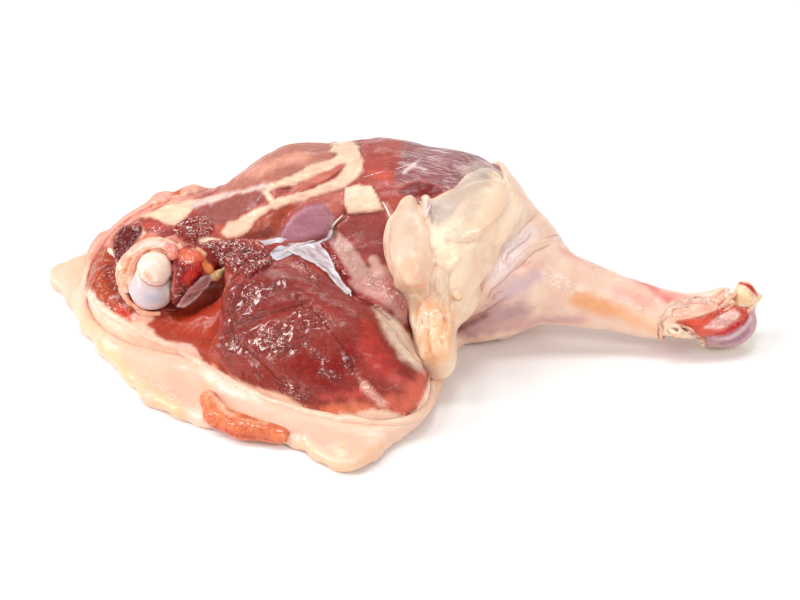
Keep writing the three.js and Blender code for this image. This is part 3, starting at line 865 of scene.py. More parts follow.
# glossy places: smoother, and the shader paints white sparks on them as glints
SKIN_GLOSS_AND_GLINTS = {
    "torn fat": (0.9, 2.0, [(200, 362, 1.2), (226, 384, 1.6), (262, 398, 1.2)]),
    "calf gloss": (0.9, 2.0, [(548, 278, 1.2), (566, 284, 1.4), (582, 292, 0.8)]),
    "shank gloss": (0.9, 1.6, [(604, 299, 0.6), (640, 308, 0.8), (676, 312, 1.2), (704, 308, 1.2)]),
    "flap gloss": (0.9, 2.0, [(134, 376, 1.2), (156, 388, 1.8), (190, 404, 1.2)]),
    "lower flap gloss": (0.7, 2.4, [(230, 414, 1.6), (262, 428, 1.6), (304, 438, 1.6)]),
    "tip gloss": (0.7, 2.0, [(330, 446, 1.4), (344, 452, 1.4)]),
}
skin.finish(
    hide, "skin", "skin",
    colours=skin.washed(ground, SKIN_WASHES),
    wet=0.12 * smoothstep(noise(skin.places, 6, 35, 2) * 2 + 0.4),
    crumbly=skin.marked(0.08, SKIN_GLOSS_AND_GLINTS),
)

# %% [markdown]
# ## The muscles
# The thigh is a bundle of muscles, each in its own thin skin, with fat between them. A muscle shows
# as a bulge and as a patch of colour with the same edge, so its outline is written down once, in
# points of the picture, and both the relief and the colours use it.

# %% Muscle outlines
meat = Tissue("meat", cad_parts["meat"].data, 0.6)
OUTLINES = {
    "rump": [
        (214, 196), (222, 172), (250, 150), (290, 134), (336, 130), (336, 152), (330, 160), (315, 164),
        (300, 171), (280, 181), (264, 186), (240, 190),
    ],
    "streak one": [
        (332, 144), (347, 138), (358, 145), (361, 153), (358, 160), (347, 161), (338, 165), (319, 174),
        (308, 179), (296, 184), (276, 188), (270, 192), (274, 199), (280, 203), (272, 207), (266, 199),
        (262, 191), (267, 186), (290, 176), (301, 170), (315, 164), (329, 160), (337, 155), (331, 151),
    ],
    "streak two": [
        (358, 150), (364, 162), (361, 172), (356, 179), (348, 186), (340, 190), (329, 192), (315, 197),
        (301, 201), (290, 203), (278, 208), (269, 211), (261, 217), (255, 223), (249, 230), (241, 237),
        (229, 238), (221, 232), (228, 223), (238, 219), (248, 214), (258, 208), (269, 204), (279, 198),
        (292, 195), (303, 192), (315, 187), (329, 182), (338, 176), (343, 168), (349, 158),
    ],
    "wedge": [
        (284, 196), (296, 186), (310, 177), (324, 169), (338, 164), (346, 162), (340, 170), (329, 178),
        (316, 184), (302, 190), (290, 195),
    ],
    "salmon rim": [
        (92, 262), (90, 246), (104, 228), (122, 214), (146, 198), (168, 188), (196, 184), (222, 186),
        (200, 194), (180, 202), (160, 208), (140, 218), (122, 226), (113, 238), (110, 256),
    ],
    "cream patch": [
        (138, 217), (152, 212), (167, 204), (177, 203), (191, 200), (200, 199), (195, 206), (190, 213),
        (182, 220), (175, 225), (168, 225), (159, 219), (150, 217),
    ],
    "fat over the edge": [
        (60, 262), (82, 266), (86, 284), (95, 296), (104, 305), (112, 312), (124, 319), (134, 323),
        (150, 329), (157, 335), (164, 341), (178, 343), (190, 343), (197, 350), (202, 360), (215, 367),
        (226, 376), (245, 384), (266, 390), (288, 397), (310, 411), (324, 414), (353, 414), (372, 409),
        (391, 411), (407, 419), (418, 409), (425, 390), (430, 376), (446, 376), (446, 446), (60, 446),
    ],
    "silver streak": [
        (190, 203), (214, 195), (228, 191), (246, 189), (268, 184), (267, 188), (253, 191), (239, 194),
        (223, 198), (209, 203), (192, 209),
    ],
    "shoulder": [
        (196, 210), (212, 203), (240, 194), (262, 191), (266, 200), (258, 207), (240, 217), (228, 222),
        (214, 226), (200, 222),
    ],
    "left of the dome": [
        (243, 236), (250, 229), (256, 222), (264, 214), (280, 207), (296, 206), (286, 216), (280, 229),
        (279, 238), (260, 239),
    ],
    "above the dome": [
        (287, 204), (301, 200), (315, 195), (331, 191), (344, 191), (345, 206), (342, 217), (335, 227),
        (331, 213), (322, 206), (310, 204), (299, 206),
    ],
    "dome": [
        (278, 236), (284, 227), (290, 219), (297, 212), (305, 207), (314, 203), (323, 205), (329, 211),
        (331, 220), (330, 229), (326, 235), (316, 239), (297, 241), (284, 240),
    ],
    "trapezoid": [
        (345, 188), (358, 185), (371, 186), (378, 197), (383, 210), (370, 212), (347, 214),
        (344, 202),
    ],
    "bright muscle": [
        (362, 128), (400, 128), (404, 158), (398, 176), (404, 190), (400, 206), (390, 212), (380, 196),
        (372, 184), (358, 182), (364, 166), (362, 150),
    ],
    "fascia": [
        (404, 128), (440, 128), (480, 136), (512, 158), (520, 190), (504, 186), (488, 172), (472, 175),
        (460, 187), (443, 190), (430, 183), (418, 181), (404, 186), (396, 178), (402, 160),
    ],
    "pocket": [(398, 192), (407, 185), (418, 181), (430, 183), (446, 191), (430, 196), (410, 197)],
    "middle muscle": [
        (336, 222), (346, 214), (362, 211), (380, 211), (392, 222), (390, 240), (388, 262), (376, 270),
        (366, 266), (361, 254), (354, 242), (345, 233),
    ],
    "pale tissue": [
        (330, 229), (338, 232), (350, 242), (358, 253), (366, 265), (378, 276), (366, 284), (352, 280),
        (346, 268), (338, 254), (330, 240),
    ],
    "pink tissue": [
        (346, 281), (361, 277), (374, 268), (391, 265), (404, 279), (415, 291), (420, 312), (416, 332),
        (402, 322), (386, 306), (370, 295), (354, 290),
    ],
    "tendon": [
        (374, 308), (386, 311), (400, 323), (412, 338), (424, 358), (425, 373), (414, 368), (402, 358),
        (391, 343), (382, 328),
    ],
    "ham": [
        (222, 322), (220, 302), (230, 286), (246, 273), (262, 267), (286, 258), (300, 261), (320, 274),
        (338, 290), (350, 300), (372, 310), (392, 332), (408, 354), (426, 374), (430, 396), (414, 420),
        (385, 416), (345, 420), (300, 408), (262, 396), (238, 380), (222, 362), (212, 346),
    ],
    "hock skin": [
        (655, 326), (655, 296), (690, 294), (736, 292), (734, 303), (716, 310), (703, 316), (685, 320),
        (672, 323),
    ],
    "above the condyle": [
        (700, 330), (716, 320), (734, 308), (748, 306), (752, 312), (742, 326), (732, 334), (721, 338),
        (710, 338),
    ],
    "hock membrane": [
        (714, 320), (725, 313), (735, 309), (741, 314), (737, 320), (727, 327), (716, 330), (704, 328),
    ],
    "hock sheath": [
        (655, 320), (666, 323), (674, 323), (686, 328), (697, 335), (706, 342), (700, 346), (686, 345),
        (676, 340), (660, 345),
    ],
    "hock band": [(655, 342), (668, 341), (680, 343), (696, 346), (712, 346), (712, 356), (655, 356)],
    "condyle": [
        (702, 330), (712, 336), (721, 336), (732, 333), (741, 326), (748, 315), (755, 308), (762, 312),
        (764, 326), (758, 340), (746, 350), (724, 354), (704, 346),
    ],
    "ham shoulder": [
        (224, 300), (232, 286), (250, 274), (270, 268), (288, 272), (302, 284), (306, 298), (296, 306),
        (276, 308), (256, 300), (240, 306), (228, 318),
    ],
    "salmon patch": [
        (146, 326), (168, 310), (198, 302), (220, 302), (222, 322), (216, 342), (206, 352), (190, 346),
        (168, 344), (154, 336),
    ],
    "left band": [
        (84, 268), (88, 250), (100, 240), (110, 250), (114, 268), (121, 286), (130, 301), (142, 312),
        (136, 324), (120, 318), (104, 306), (90, 288),
    ],
    "left stump": [
        (118, 232), (124, 227), (134, 227), (141, 224), (142, 231), (140, 238), (134, 243), (131, 249),
        (129, 254), (125, 260), (121, 266), (117, 259), (114, 252), (113, 246), (116, 239),
    ],
    "upper stumps": [
        (173, 228), (182, 221), (195, 217), (208, 219), (214, 224), (210, 232), (203, 238), (195, 243),
        (185, 243), (178, 238), (174, 232),
    ],
    "stump": [
        (200, 247), (214, 242), (232, 240), (250, 241), (264, 249), (274, 262), (264, 273), (248, 279),
        (236, 274), (226, 268), (212, 262), (204, 254),
    ],
}
print(len(OUTLINES), "outlines")

# %% [markdown]
# ## The relief of the muscles
# The solid has the large bulges. The small ones, the grooves between the muscles and the hollow
# under the bone are strokes of height. The sharpest creases are engraved lines instead, because
# the mesh would need ten times the faces to hold them, and the shader darkens them as painted shade.

# %% Muscle relief
MUSCLE_FORMS = {
    "under the sleeve": (0.9, 1.8, [
        (665, 325, 0.5), (668, 316, 0.8), (676, 310, 0.9), (690, 306, 0.9), (708, 306, 0.8),
    ]),
    "dome": (1.3, 2.4),
    "rump": (0.5, 1.4),
    "streak one": (0.35, 0.7),
    "streak two": (0.4, 0.7),
    "trapezoid": (0.6, 0.8),
    "shoulder": (0.3, 1.2),
    "middle muscle": (-0.5, 1.6),
    "ham": (0.9, 1.6),
    "stump": (1.6, 1.4),
    "left stump": (1.0, 1.0),
    "upper stumps": (0.9, 1.0),
    "cream patch": (0.5, 1.0),
    "fold under the bone": (0.8, 0.8, [(200, 307, 0.3), (212, 300, 0.5), (222, 292, 0.4)]),
    "fold above it": (0.6, 0.7, [(222, 286, 0.3), (230, 279, 0.5), (236, 273, 0.3)]),
    "pocket": (-0.2, 1.2),
    "groove left of the dome": (-0.7, 1.0, [(245, 239, 0.3), (277, 236, 0.3), (282, 218, 0.2)]),
    "groove right of the dome": (-1.0, 0.9, [(333, 238, 0.3), (334, 222, 0.3), (345, 213, 0.2)]),
    "groove above the ham": (-1.2, 1.3, [
        (222, 290, 0.4), (236, 276, 0.4), (262, 263, 0.4), (284, 254, 0.3),
    ]),
    "groove right of the ham": (-1.0, 1.0, [(326, 264, 0.3), (342, 286, 0.3), (372, 306, 0.3)]),
    "ham crease": (-0.9, 0.9, [(222, 338, 0.2), (250, 324, 0.2), (280, 312, 0.2), (308, 306, 0.2)]),
    "ham fold": (-0.8, 0.9, [(248, 350, 0.2), (264, 366, 0.2), (284, 388, 0.2)]),
    "ham furrow": (-0.6, 0.9, [(300, 300, 0.2), (322, 318, 0.2), (344, 346, 0.2), (356, 372, 0.2)]),
    "hollow": (-4.2, 2.4, [(180, 304, 1.0), (200, 296, 1.2), (216, 285, 1.0)]),
    "groove behind the left stump": (-0.9, 0.9, [(112, 264, 0.3), (111, 248, 0.3), (122, 228, 0.3)]),
    "groove behind the stumps": (-0.8, 0.9, [(140, 208, 0.3), (176, 203, 0.3), (212, 208, 0.3)]),
    "small bulges": (0.4, 1.0, [(374, 260, 0.6), (380, 273, 0.6)]),
    "groove of the salmon patch": (-0.9, 1.0, [(222, 300, 0.2), (222, 322, 0.2), (212, 346, 0.2)]),
}
MUSCLE_LINES = {
    "ham crease": (0.7, [(222, 337), (236, 330), (250, 324), (266, 316), (280, 311), (308, 304)]),
    "ham fold": (0.6, [(246, 348), (256, 358), (268, 370), (288, 390)]),
    "ham furrow": (0.5, [(300, 300), (314, 310), (326, 324), (344, 348), (354, 372)]),
    "right of the dome": (0.6, [(331, 240), (334, 226), (340, 218), (348, 212)]),
    "above the ham": (0.7, [(224, 292), (236, 276), (252, 268), (272, 262), (290, 256)]),
    "right of the ham": (0.8, [(322, 262), (332, 272), (344, 288), (360, 298), (376, 308), (392, 322)]),
    "below the dome": (0.5, [(246, 240), (262, 238), (278, 236)]),
    "left stump": (0.7, [(113, 246), (116, 238), (119, 231), (126, 227), (140, 224)]),
    "pocket": (0.4, [(398, 193), (408, 196), (424, 197), (440, 192)]),
    "under the sheath": (0.8, [(674, 322), (684, 327), (694, 334), (702, 340), (710, 345)]),
    "tendon edge": (0.6, [(674, 322), (688, 320), (702, 317), (716, 312), (730, 304)]),
    "second tendon edge": (0.6, [(710, 320), (720, 314), (734, 306)]),
}
print(len(MUSCLE_FORMS), "forms and", len(MUSCLE_LINES), "engraved lines")

# %% [markdown]
# ## Wet and torn places
# Where the knife cut across the fibres the flesh is torn and grainy, and where it slid along them
# it is smooth and wet. Both are told to the shader by a number on every vertex, and both also lift
# the surface a little, so that the gloss breaks up where the flesh is uneven. On the torn places,
# and on the clusters of glints on the ham, the shader also paints white sparks as glints.

# %% Wet and torn places
WET_ZONES = {
    "cluster one": (1.0, 1.2, [(232, 338, 1.6), (238, 346, 1.2)]),
    "cluster two": (1.0, 1.2, [(258, 368, 0.9), (264, 378, 0.9)]),
    "cluster three": (1.0, 1.2, [(292, 386, 1.3), (302, 394, 1.3)]),
    "cluster four": (1.0, 1.2, [(322, 372, 1.2), (336, 376, 1.4)]),
    "cluster five": (1.0, 1.2, [(348, 366, 1.0), (354, 360, 0.8)]),
    "cluster six": (1.0, 1.2, [(316, 354, 0.9), (324, 360, 0.9)]),
    "stump": (0.8, 1.4),
    "ham, top": (1.0, 2.0, [(236, 296, 2.2), (262, 292, 2.8), (284, 284, 1.4)]),
    "ham, left": (1.0, 2.0, [(236, 318, 3.0), (256, 308, 2.8)]),
    "ham, middle": (1.0, 2.0, [(232, 342, 3.0), (262, 340, 4.2), (292, 338, 4.4)]),
    "ham, right": (1.0, 2.0, [(300, 318, 2.5), (318, 322, 2.5)]),
    "ham, low": (1.0, 2.0, [(284, 382, 2.0), (304, 392, 2.5)]),
    "right ham": (0.9, 2.0, [(346, 362, 1.5), (352, 370, 1.5)]),
    "dull crease": (0.2, 1.5, [(222, 337, 0.4), (250, 324, 0.5), (280, 312, 0.6), (306, 306, 0.5)]),
}
# torn places and the clusters of glints on the ham: the shader paints white sparks on them as glints
TORN_AND_GLINT_ZONES = {
    "hock": (0.8, 1.0, [(682, 312, 1.4), (704, 306, 1.4)]),
    "hock rim": (0.6, 0.8, [(742, 314, 0.6), (738, 326, 0.6), (722, 334, 0.6)]),
    "stump": (1.0, 1.6),
    "left band": (0.3, 2.0),
    "left stump": (0.35, 1.2),
    "upper stumps": (0.8, 1.6),
    "below the flap": (0.9, 1.6, [(296, 268, 1.5), (312, 280, 1.5)]),
    "red line": (1.0, 1.2, [(324, 244, 0.6), (336, 262, 0.8), (348, 278, 0.6)]),
    "below the flap, right": (0.9, 1.4, [(296, 262, 1.0), (304, 272, 1.3), (312, 282, 1.0)]),
    "pink tissue": (0.7, 1.6, [(372, 282, 1.4), (392, 292, 1.8), (408, 314, 1.2)]),
    "main cluster": (0.8, 1.6, [(264, 336, 1.6), (282, 344, 2.0), (276, 358, 1.2)]),
    "left cluster": (0.8, 1.2, [(232, 346, 1.0), (240, 337, 1.2)]),
    "top cluster": (0.6, 1.4, [(246, 300, 1.2), (258, 292, 1.4), (268, 298, 0.8)]),
    "low cluster": (0.7, 1.0, [(256, 368, 0.7), (264, 378, 0.7)]),
    "cluster three": (0.8, 1.0, [(290, 384, 0.8), (303, 396, 0.9)]),
    "cluster four": (0.8, 1.0, [(320, 370, 0.8), (338, 376, 1.0)]),
    "cluster five": (0.7, 1.0, [(348, 366, 0.6), (354, 360, 0.5)]),
    "cluster six": (0.8, 1.0, [(314, 352, 0.6), (325, 361, 0.6)]),
    "left band, low": (0.8, 1.2, [(96, 300, 0.8), (112, 308, 0.8), (120, 312, 0.6)]),
    "middle stump": (0.7, 1.2, [(148, 229, 0.8), (164, 231, 0.8)]),
    "pale tissue": (0.5, 1.6, [(340, 244, 1.0), (356, 268, 1.2)]),
    "pale streak": (0.9, 0.8, [(360, 379, 0.4), (370, 390, 0.7), (381, 402, 0.6)]),
    "tendon": (0.5, 1.4, [(386, 330, 0.8), (400, 346, 1.0), (414, 362, 0.8)]),
    "hock membrane": (0.8, 0.8),
    "ham, edge": (0.7, 2.0, [(200, 356, 1.0), (226, 376, 1.4), (250, 388, 1.5)]),
}
wet = meat.marked(0.12, WET_ZONES)
crumbly = meat.marked(0.05, TORN_AND_GLINT_ZONES)
lumps = noise(meat.places, 2.6, 11, 2)
folds = noise(turned(meat.places, 12), (9, 2.6, 2.6), 12, 2)
crumbs = noise(meat.places, 1.5, 13, 2)
meat.shift(meat.relief(MUSCLE_FORMS))
meat.shift(0.3 + 0.15 * lumps + 0.25 * folds + wet * (0.25 * lumps + 0.18 * crumbs) + crumbly * 0.8 * crumbs)
to_skin = meat.hug(skin, 2.2, 0.35)
print(int((wet > 0.5).sum()), "wet and", int((crumbly > 0.5).sum()), "torn vertices")

# %% [markdown]
# ## The edge of the meat
# Below the thigh the meat runs out into the fat of the skin without a step. A soft roll of fat laid
# along the seam fills the gap that two solids leave there.

# %% Edge of the meat
SEAM = [
    (88, 292, 0.8), (100, 306, 1.0), (120, 321, 1.0), (146, 335, 1.1), (164, 344, 1.1), (182, 352, 1.2),
    (200, 362, 1.2), (218, 373, 1.2), (243, 387, 1.2), (265, 397, 1.2), (286, 404, 1.2), (305, 410, 1.2),
    (324, 415, 1.2), (344, 419, 1.3), (366, 422, 1.3), (388, 423, 1.3), (404, 421, 1.3), (416, 416, 1.3),
    (424, 410, 1.3), (429, 401, 1.2), (431, 390, 1.1), (432, 378, 0.9),
]
ROLLS = {"along the flap": (-0.5, SEAM[:14]), "towards the knee": (0.1, SEAM[13:])}
edge_fat = strands("edge_fat", 0.4, [meat, skin], ROLLS, 20)
edge_fat.shift(0.1 + 0.2 * edge_fat.ragged)
edge_fat.finish(
    hide, "fat",
    colours=srgb(246, 202, 176) * (1 + 0.05 * edge_fat.ragged[:, None]),
    wet=0.1,
    crumbly=0.3 + 0.3 * edge_fat.ragged,
)

# %% [markdown]
# ## The colours of the muscles
# Duck thigh is dark red where a muscle is bare, salmon where it lies deep under its skin, grey and
# purple under thick membrane and cream where fat runs between two muscles. The washes go from the
# large muscles to the thin streaks. The hollow under the bone and the pocket below the fascia are
# painted almost black as shade, the grey sheen on the ham is a painted reflection, and the hollows
# between the crumbs of torn places are painted darker as shade.

# %% Muscle colours
MUSCLE_WASHES = {
    "behind the stumps": ((226, 148, 128), 2.0, 0.8, OUTLINES["salmon rim"]),
    "orange rim": ((234, 170, 130), 2.5, 0.8, [(142, 206, 1.0), (156, 199, 1.4), (168, 196, 1.0)]),
    "rump": ((178, 110, 94), 1.4, 0.5),
    "rump, pale": ((208, 146, 124), 3.0, 1.0, [(232, 180, 2.0), (262, 172, 2.5), (300, 160, 2.5)]),
    "shoulder": ((150, 78, 70), 1.4, 0.5),
    "left of the dome": ((160, 70, 46), 1.2, 0.4),
    "left of the dome, dark": ((128, 52, 44), 1.6, 0.6, [(250, 236, 0.8), (268, 232, 1.0)]),
    "above the dome": ((186, 98, 84), 1.2, 0.4),
    "bright muscle": ((168, 74, 64), 2.0, 0.6),
    "brightest": ((198, 78, 58), 3.4, 0.6, [(374, 172, 1.0), (388, 178, 1.6)]),
    "fascia": ((140, 84, 86), 2.4, 0.8),
    "fascia, right": ((196, 164, 156), 3.0, 1.2, [(468, 172, 2.2), (490, 168, 2.4), (508, 184, 2.0)]),
    "fascia, red": ((150, 70, 70), 3.0, 1.2, [(410, 150, 2.0), (436, 142, 2.0), (470, 144, 1.6)]),
    # dark red flesh with the shade of the pocket painted in, almost black
    "pocket": ((112, 14, 12), 1.0, 0.3),
    "middle muscle": ((152, 68, 62), 1.4, 0.5),
    "middle muscle, dark": ((140, 54, 54), 2.0, 0.7, [(366, 250, 1.4), (380, 254, 1.6), (384, 240, 1.2)]),
    "ham": ((142, 46, 36), 1.4, 0.5),
    "ham shoulder": ((136, 42, 36), 1.6, 0.6),
    # painted reflection: a grey sheen on the wet ham
    "sheen": ((166, 110, 106), 2.0, 0.7, [(264, 276, 1.4), (284, 279, 1.8)]),
    "salmon patch": ((170, 56, 32), 1.4, 0.6),
    "lower edge": ((230, 126, 92), 2.2, 1.0, [
        (300, 402, 1.4), (330, 407, 1.8), (362, 406, 2.0), (384, 406, 1.4),
    ]),
    "lower edge, red": ((202, 80, 70), 2.0, 0.8, [(324, 396, 0.8), (356, 394, 1.4), (376, 394, 1.4)]),
    "lower edge, left": ((184, 70, 46), 2.5, 1.0, [(212, 362, 2.2), (236, 378, 2.2), (262, 390, 1.8)]),
    "dark ham": ((132, 22, 14), 3.0, 1.0, [(300, 360, 2.5), (330, 376, 3.5), (352, 350, 3.0)]),
    "red ham": ((178, 54, 44), 3.0, 1.0, [(366, 348, 2.4), (386, 372, 2.6), (366, 330, 2.0)]),
    "pink ham": ((208, 94, 84), 2.5, 0.8, [(392, 380, 1.8), (406, 388, 2.0)]),
    "pink end": ((216, 102, 80), 2.2, 0.8, [
        (390, 398, 2.0), (396, 408, 2.4), (414, 394, 3.0), (420, 378, 2.0),
    ]),
    "left band": ((168, 62, 18), 1.6, 0.6),
    "dark band": ((142, 46, 28), 1.8, 0.7, [(108, 268, 1.6), (114, 286, 1.6), (124, 302, 1.4)]),
    "red band": ((208, 62, 38), 1.2, 0.5, [(120, 310, 1.4), (130, 317, 1.2)]),
    "round the ball": ((214, 130, 108), 1.6, 0.6, [
        (134, 250, 1.6), (150, 238, 1.8), (172, 238, 1.6), (186, 246, 1.4),
    ]),
    "left stump": ((98, 20, 18), 0.7, 0.3),
    "left stump, rim": ((226, 176, 156), 0.6, 0.3, [
        (114, 247, 0.3), (118, 232, 0.4), (125, 226, 0.4), (139, 223, 0.4),
    ]),
    "middle stump": ((184, 76, 66), 0.9, 0.4, [(146, 226, 1.2), (156, 227, 1.4), (166, 228, 1.0)]),
    "upper stumps": ((132, 28, 22), 0.8, 0.4),
    "brown strand": ((120, 56, 52), 0.6, 0.3, [(140, 221, 0.4), (148, 217, 0.5), (157, 216, 0.3)]),
    "cream patch": ((244, 204, 172), 0.8, 0.3),
    "cream between": ((238, 196, 172), 0.7, 0.4, [(141, 226, 0.5), (144, 234, 0.7), (138, 240, 0.5)]),
    "cream by the stump": ((246, 216, 188), 0.7, 0.3, [
        (199, 241, 0.5), (208, 240, 0.7), (220, 241, 0.5),
    ]),
    "stump": ((136, 30, 26), 1.2, 0.5),
    "dark stump": ((62, 8, 10), 1.6, 0.6, [(232, 252, 1.4), (250, 258, 2.0)]),
    "around the bone": ((110, 34, 26), 2.0, 0.6, [
        (132, 262, 1.5), (150, 254, 1.5), (170, 256, 1.5), (174, 280, 1.5),
    ]),
    # painted shade: the hollow under the bone is painted almost black
    "hollow": ((16, 1, 1), 2.4, 0.5, [(172, 308, 1.4), (196, 302, 2.2), (218, 288, 1.8)]),
    "red line": ((146, 32, 38), 1.0, 0.4, [(322, 242, 0.9), (334, 262, 1.1), (350, 282, 0.9)]),
    "pale tissue": ((194, 150, 138), 1.2, 0.5),
    "pink tissue": ((196, 138, 128), 1.4, 0.6),
    "pink tissue, red": ((182, 98, 92), 1.8, 0.8, [(384, 280, 0.6), (398, 300, 1.0), (410, 320, 0.8)]),
    "small bulges": ((204, 158, 146), 1.2, 0.5, [(373, 259, 1.2), (380, 274, 1.4)]),
    "tendon": ((230, 202, 180), 2.2, 1.0),
    "pale crease": ((178, 106, 96), 0.9, 0.5, [
        (222, 337, 0.3), (250, 322, 0.4), (280, 310, 0.5), (308, 305, 0.3),
    ]),
    "pale joint": ((206, 150, 134), 1.2, 0.5, [(324, 300, 0.4), (330, 310, 0.8), (338, 322, 0.4)]),
    "pale streak": ((226, 158, 140), 1.0, 0.8, [
        (356, 374), (364, 380), (374, 390), (383, 399), (387, 409), (380, 409), (370, 397),
        (360, 385),
    ]),
    "granular": ((192, 126, 110), 1.2, 0.8, [(290, 266, 1.0), (306, 276, 1.2)]),
    "wedge": ((196, 108, 90), 0.8, 0.3),
    "streak one": ((238, 198, 168), 0.9, 0.6),
    "streak two": ((236, 196, 168), 0.9, 0.6),
    "streak, pink": ((222, 160, 136), 1.2, 0.8, [(300, 197, 0.3), (320, 190, 0.4), (340, 182, 0.3)]),
    "streak, orange": ((236, 170, 124), 1.2, 0.8, [(336, 188, 0.4), (346, 178, 0.6), (352, 170, 0.3)]),
    "silver streak": ((218, 190, 180), 1.0, 0.5),
    "trapezoid": ((240, 204, 176), 0.5, 0.2),
    "beside the lobe": ((212, 154, 140), 1.2, 0.5, [(386, 204, 0.6), (393, 220, 0.8), (395, 240, 0.7)]),
    "star": ((224, 196, 192), 0.7, 0.4, [(403, 173, 0.3), (412, 166, 0.7), (420, 160, 0.2)]),
    "star, across": ((218, 186, 184), 0.6, 0.3, [(400, 163, 0.2), (412, 166, 0.4), (426, 170, 0.2)]),
    "fascia spot": ((222, 212, 210), 0.8, 0.4, [(430, 151, 0.3), (442, 153, 0.8), (452, 155, 0.2)]),
    "dome": ((168, 112, 124), 1.6, 0.5),
    "dome, upper edge": ((196, 166, 176), 1.4, 0.5, [
        (314, 205, 0.5), (325, 208, 0.8), (330, 218, 0.9), (329, 230, 0.7),
    ]),
    "dome, dark": ((138, 84, 96), 1.4, 0.5, [(300, 234, 0.6), (304, 222, 0.8), (310, 214, 0.4)]),
    "dome, pink": ((182, 122, 140), 1.4, 0.5, [(290, 226, 0.6), (298, 216, 0.8)]),
    "pale folds": ((176, 112, 92), 0.5, 0.4, [(206, 308, 0.2), (222, 296, 0.4), (230, 282, 0.5)]),
    "hock flesh": ((214, 84, 62), 1.5, 0.4, [(664, 330, 6.0), (700, 326, 6.0), (740, 320, 5.0)]),
    "hock rim": ((198, 34, 26), 0.7, 0.3, [
        (742, 312, 0.5), (747, 316, 0.6), (742, 325, 0.7), (730, 332, 0.7), (716, 335, 0.6),
    ]),
    "hock membrane": ((246, 188, 176), 1.0, 0.5),
    "hock skin": ((244, 184, 158), 0.7, 0.3),
    "hock sheath": ((240, 214, 182), 0.7, 0.3),
    "hock band": ((244, 196, 158), 0.7, 0.3),
    "fat over the edge": ((248, 206, 180), 1.0, 0.5),
    "fat corner": ((232, 172, 148), 1.2, 0.5, [(134, 318, 1.0), (142, 320, 1.8), (150, 318, 1.2)]),
    "fat corner, pale": ((246, 206, 180), 1.2, 0.5, [(134, 324, 0.6), (146, 327, 0.8), (154, 331, 0.5)]),
    "pink film": ((226, 186, 182), 0.8, 0.4, [(176, 345, 0.5), (190, 346, 0.8), (197, 354, 0.5)]),
    "fuzzy edge": ((224, 150, 112), 1.2, 0.9, [(200, 362, 0.5), (222, 380, 0.7), (250, 394, 0.5)]),
}
mottle = noise(meat.places, 9, 21, 3)
streaks = noise(turned(meat.places, -18), (12, 1.3, 1.3), 22, 2)
ground = mottled((162, 66, 54), mottle * 0.5 + streaks * 0.35, (190, 88, 66), (140, 48, 40))
colours = meat.washed(ground, MUSCLE_WASHES)
colours *= (1 + 0.12 * streaks + 0.14 * mottle)[:, None]
# painted shade in the hollows between the crumbs of torn places
crumb_shade = crumbly * np.clip(-crumbs, 0, 1)
colours *= (1 - 0.35 * crumb_shade)[:, None]
seam = smoothstep((1.0 - to_skin + 0.9 * meat.ragged) / 0.9)[:, None]
colours = colours * (1 - 0.85 * seam) + srgb(248, 206, 180) * 0.85 * seam
fascia = meat.cover(3, 1.2, OUTLINES["fascia"])
streaky = 0.42 * fascia * (1 - meat.cover(2, 0.3, OUTLINES["pocket"]))
keep_numbers(meat.object.data, "streaky", streaky)
meat.engrave(MUSCLE_LINES)
meat.finish(muscle, "meat", "meat", colours=colours, wet=wet, crumbly=crumbly)

# %% [markdown]
# ## The fat at the knee
# A soft heap of fat hides the knee. A long lobe hangs on the left, a broad translucent one reaches
# up to the calf with grey flesh in the hollow between them, and below them the fat is loose: folds
# and small globules. The solid is its bulk. Strands laid along its borders and over its top melt
# into it when the whole is cut up anew, so that it runs into the skin without a gap.

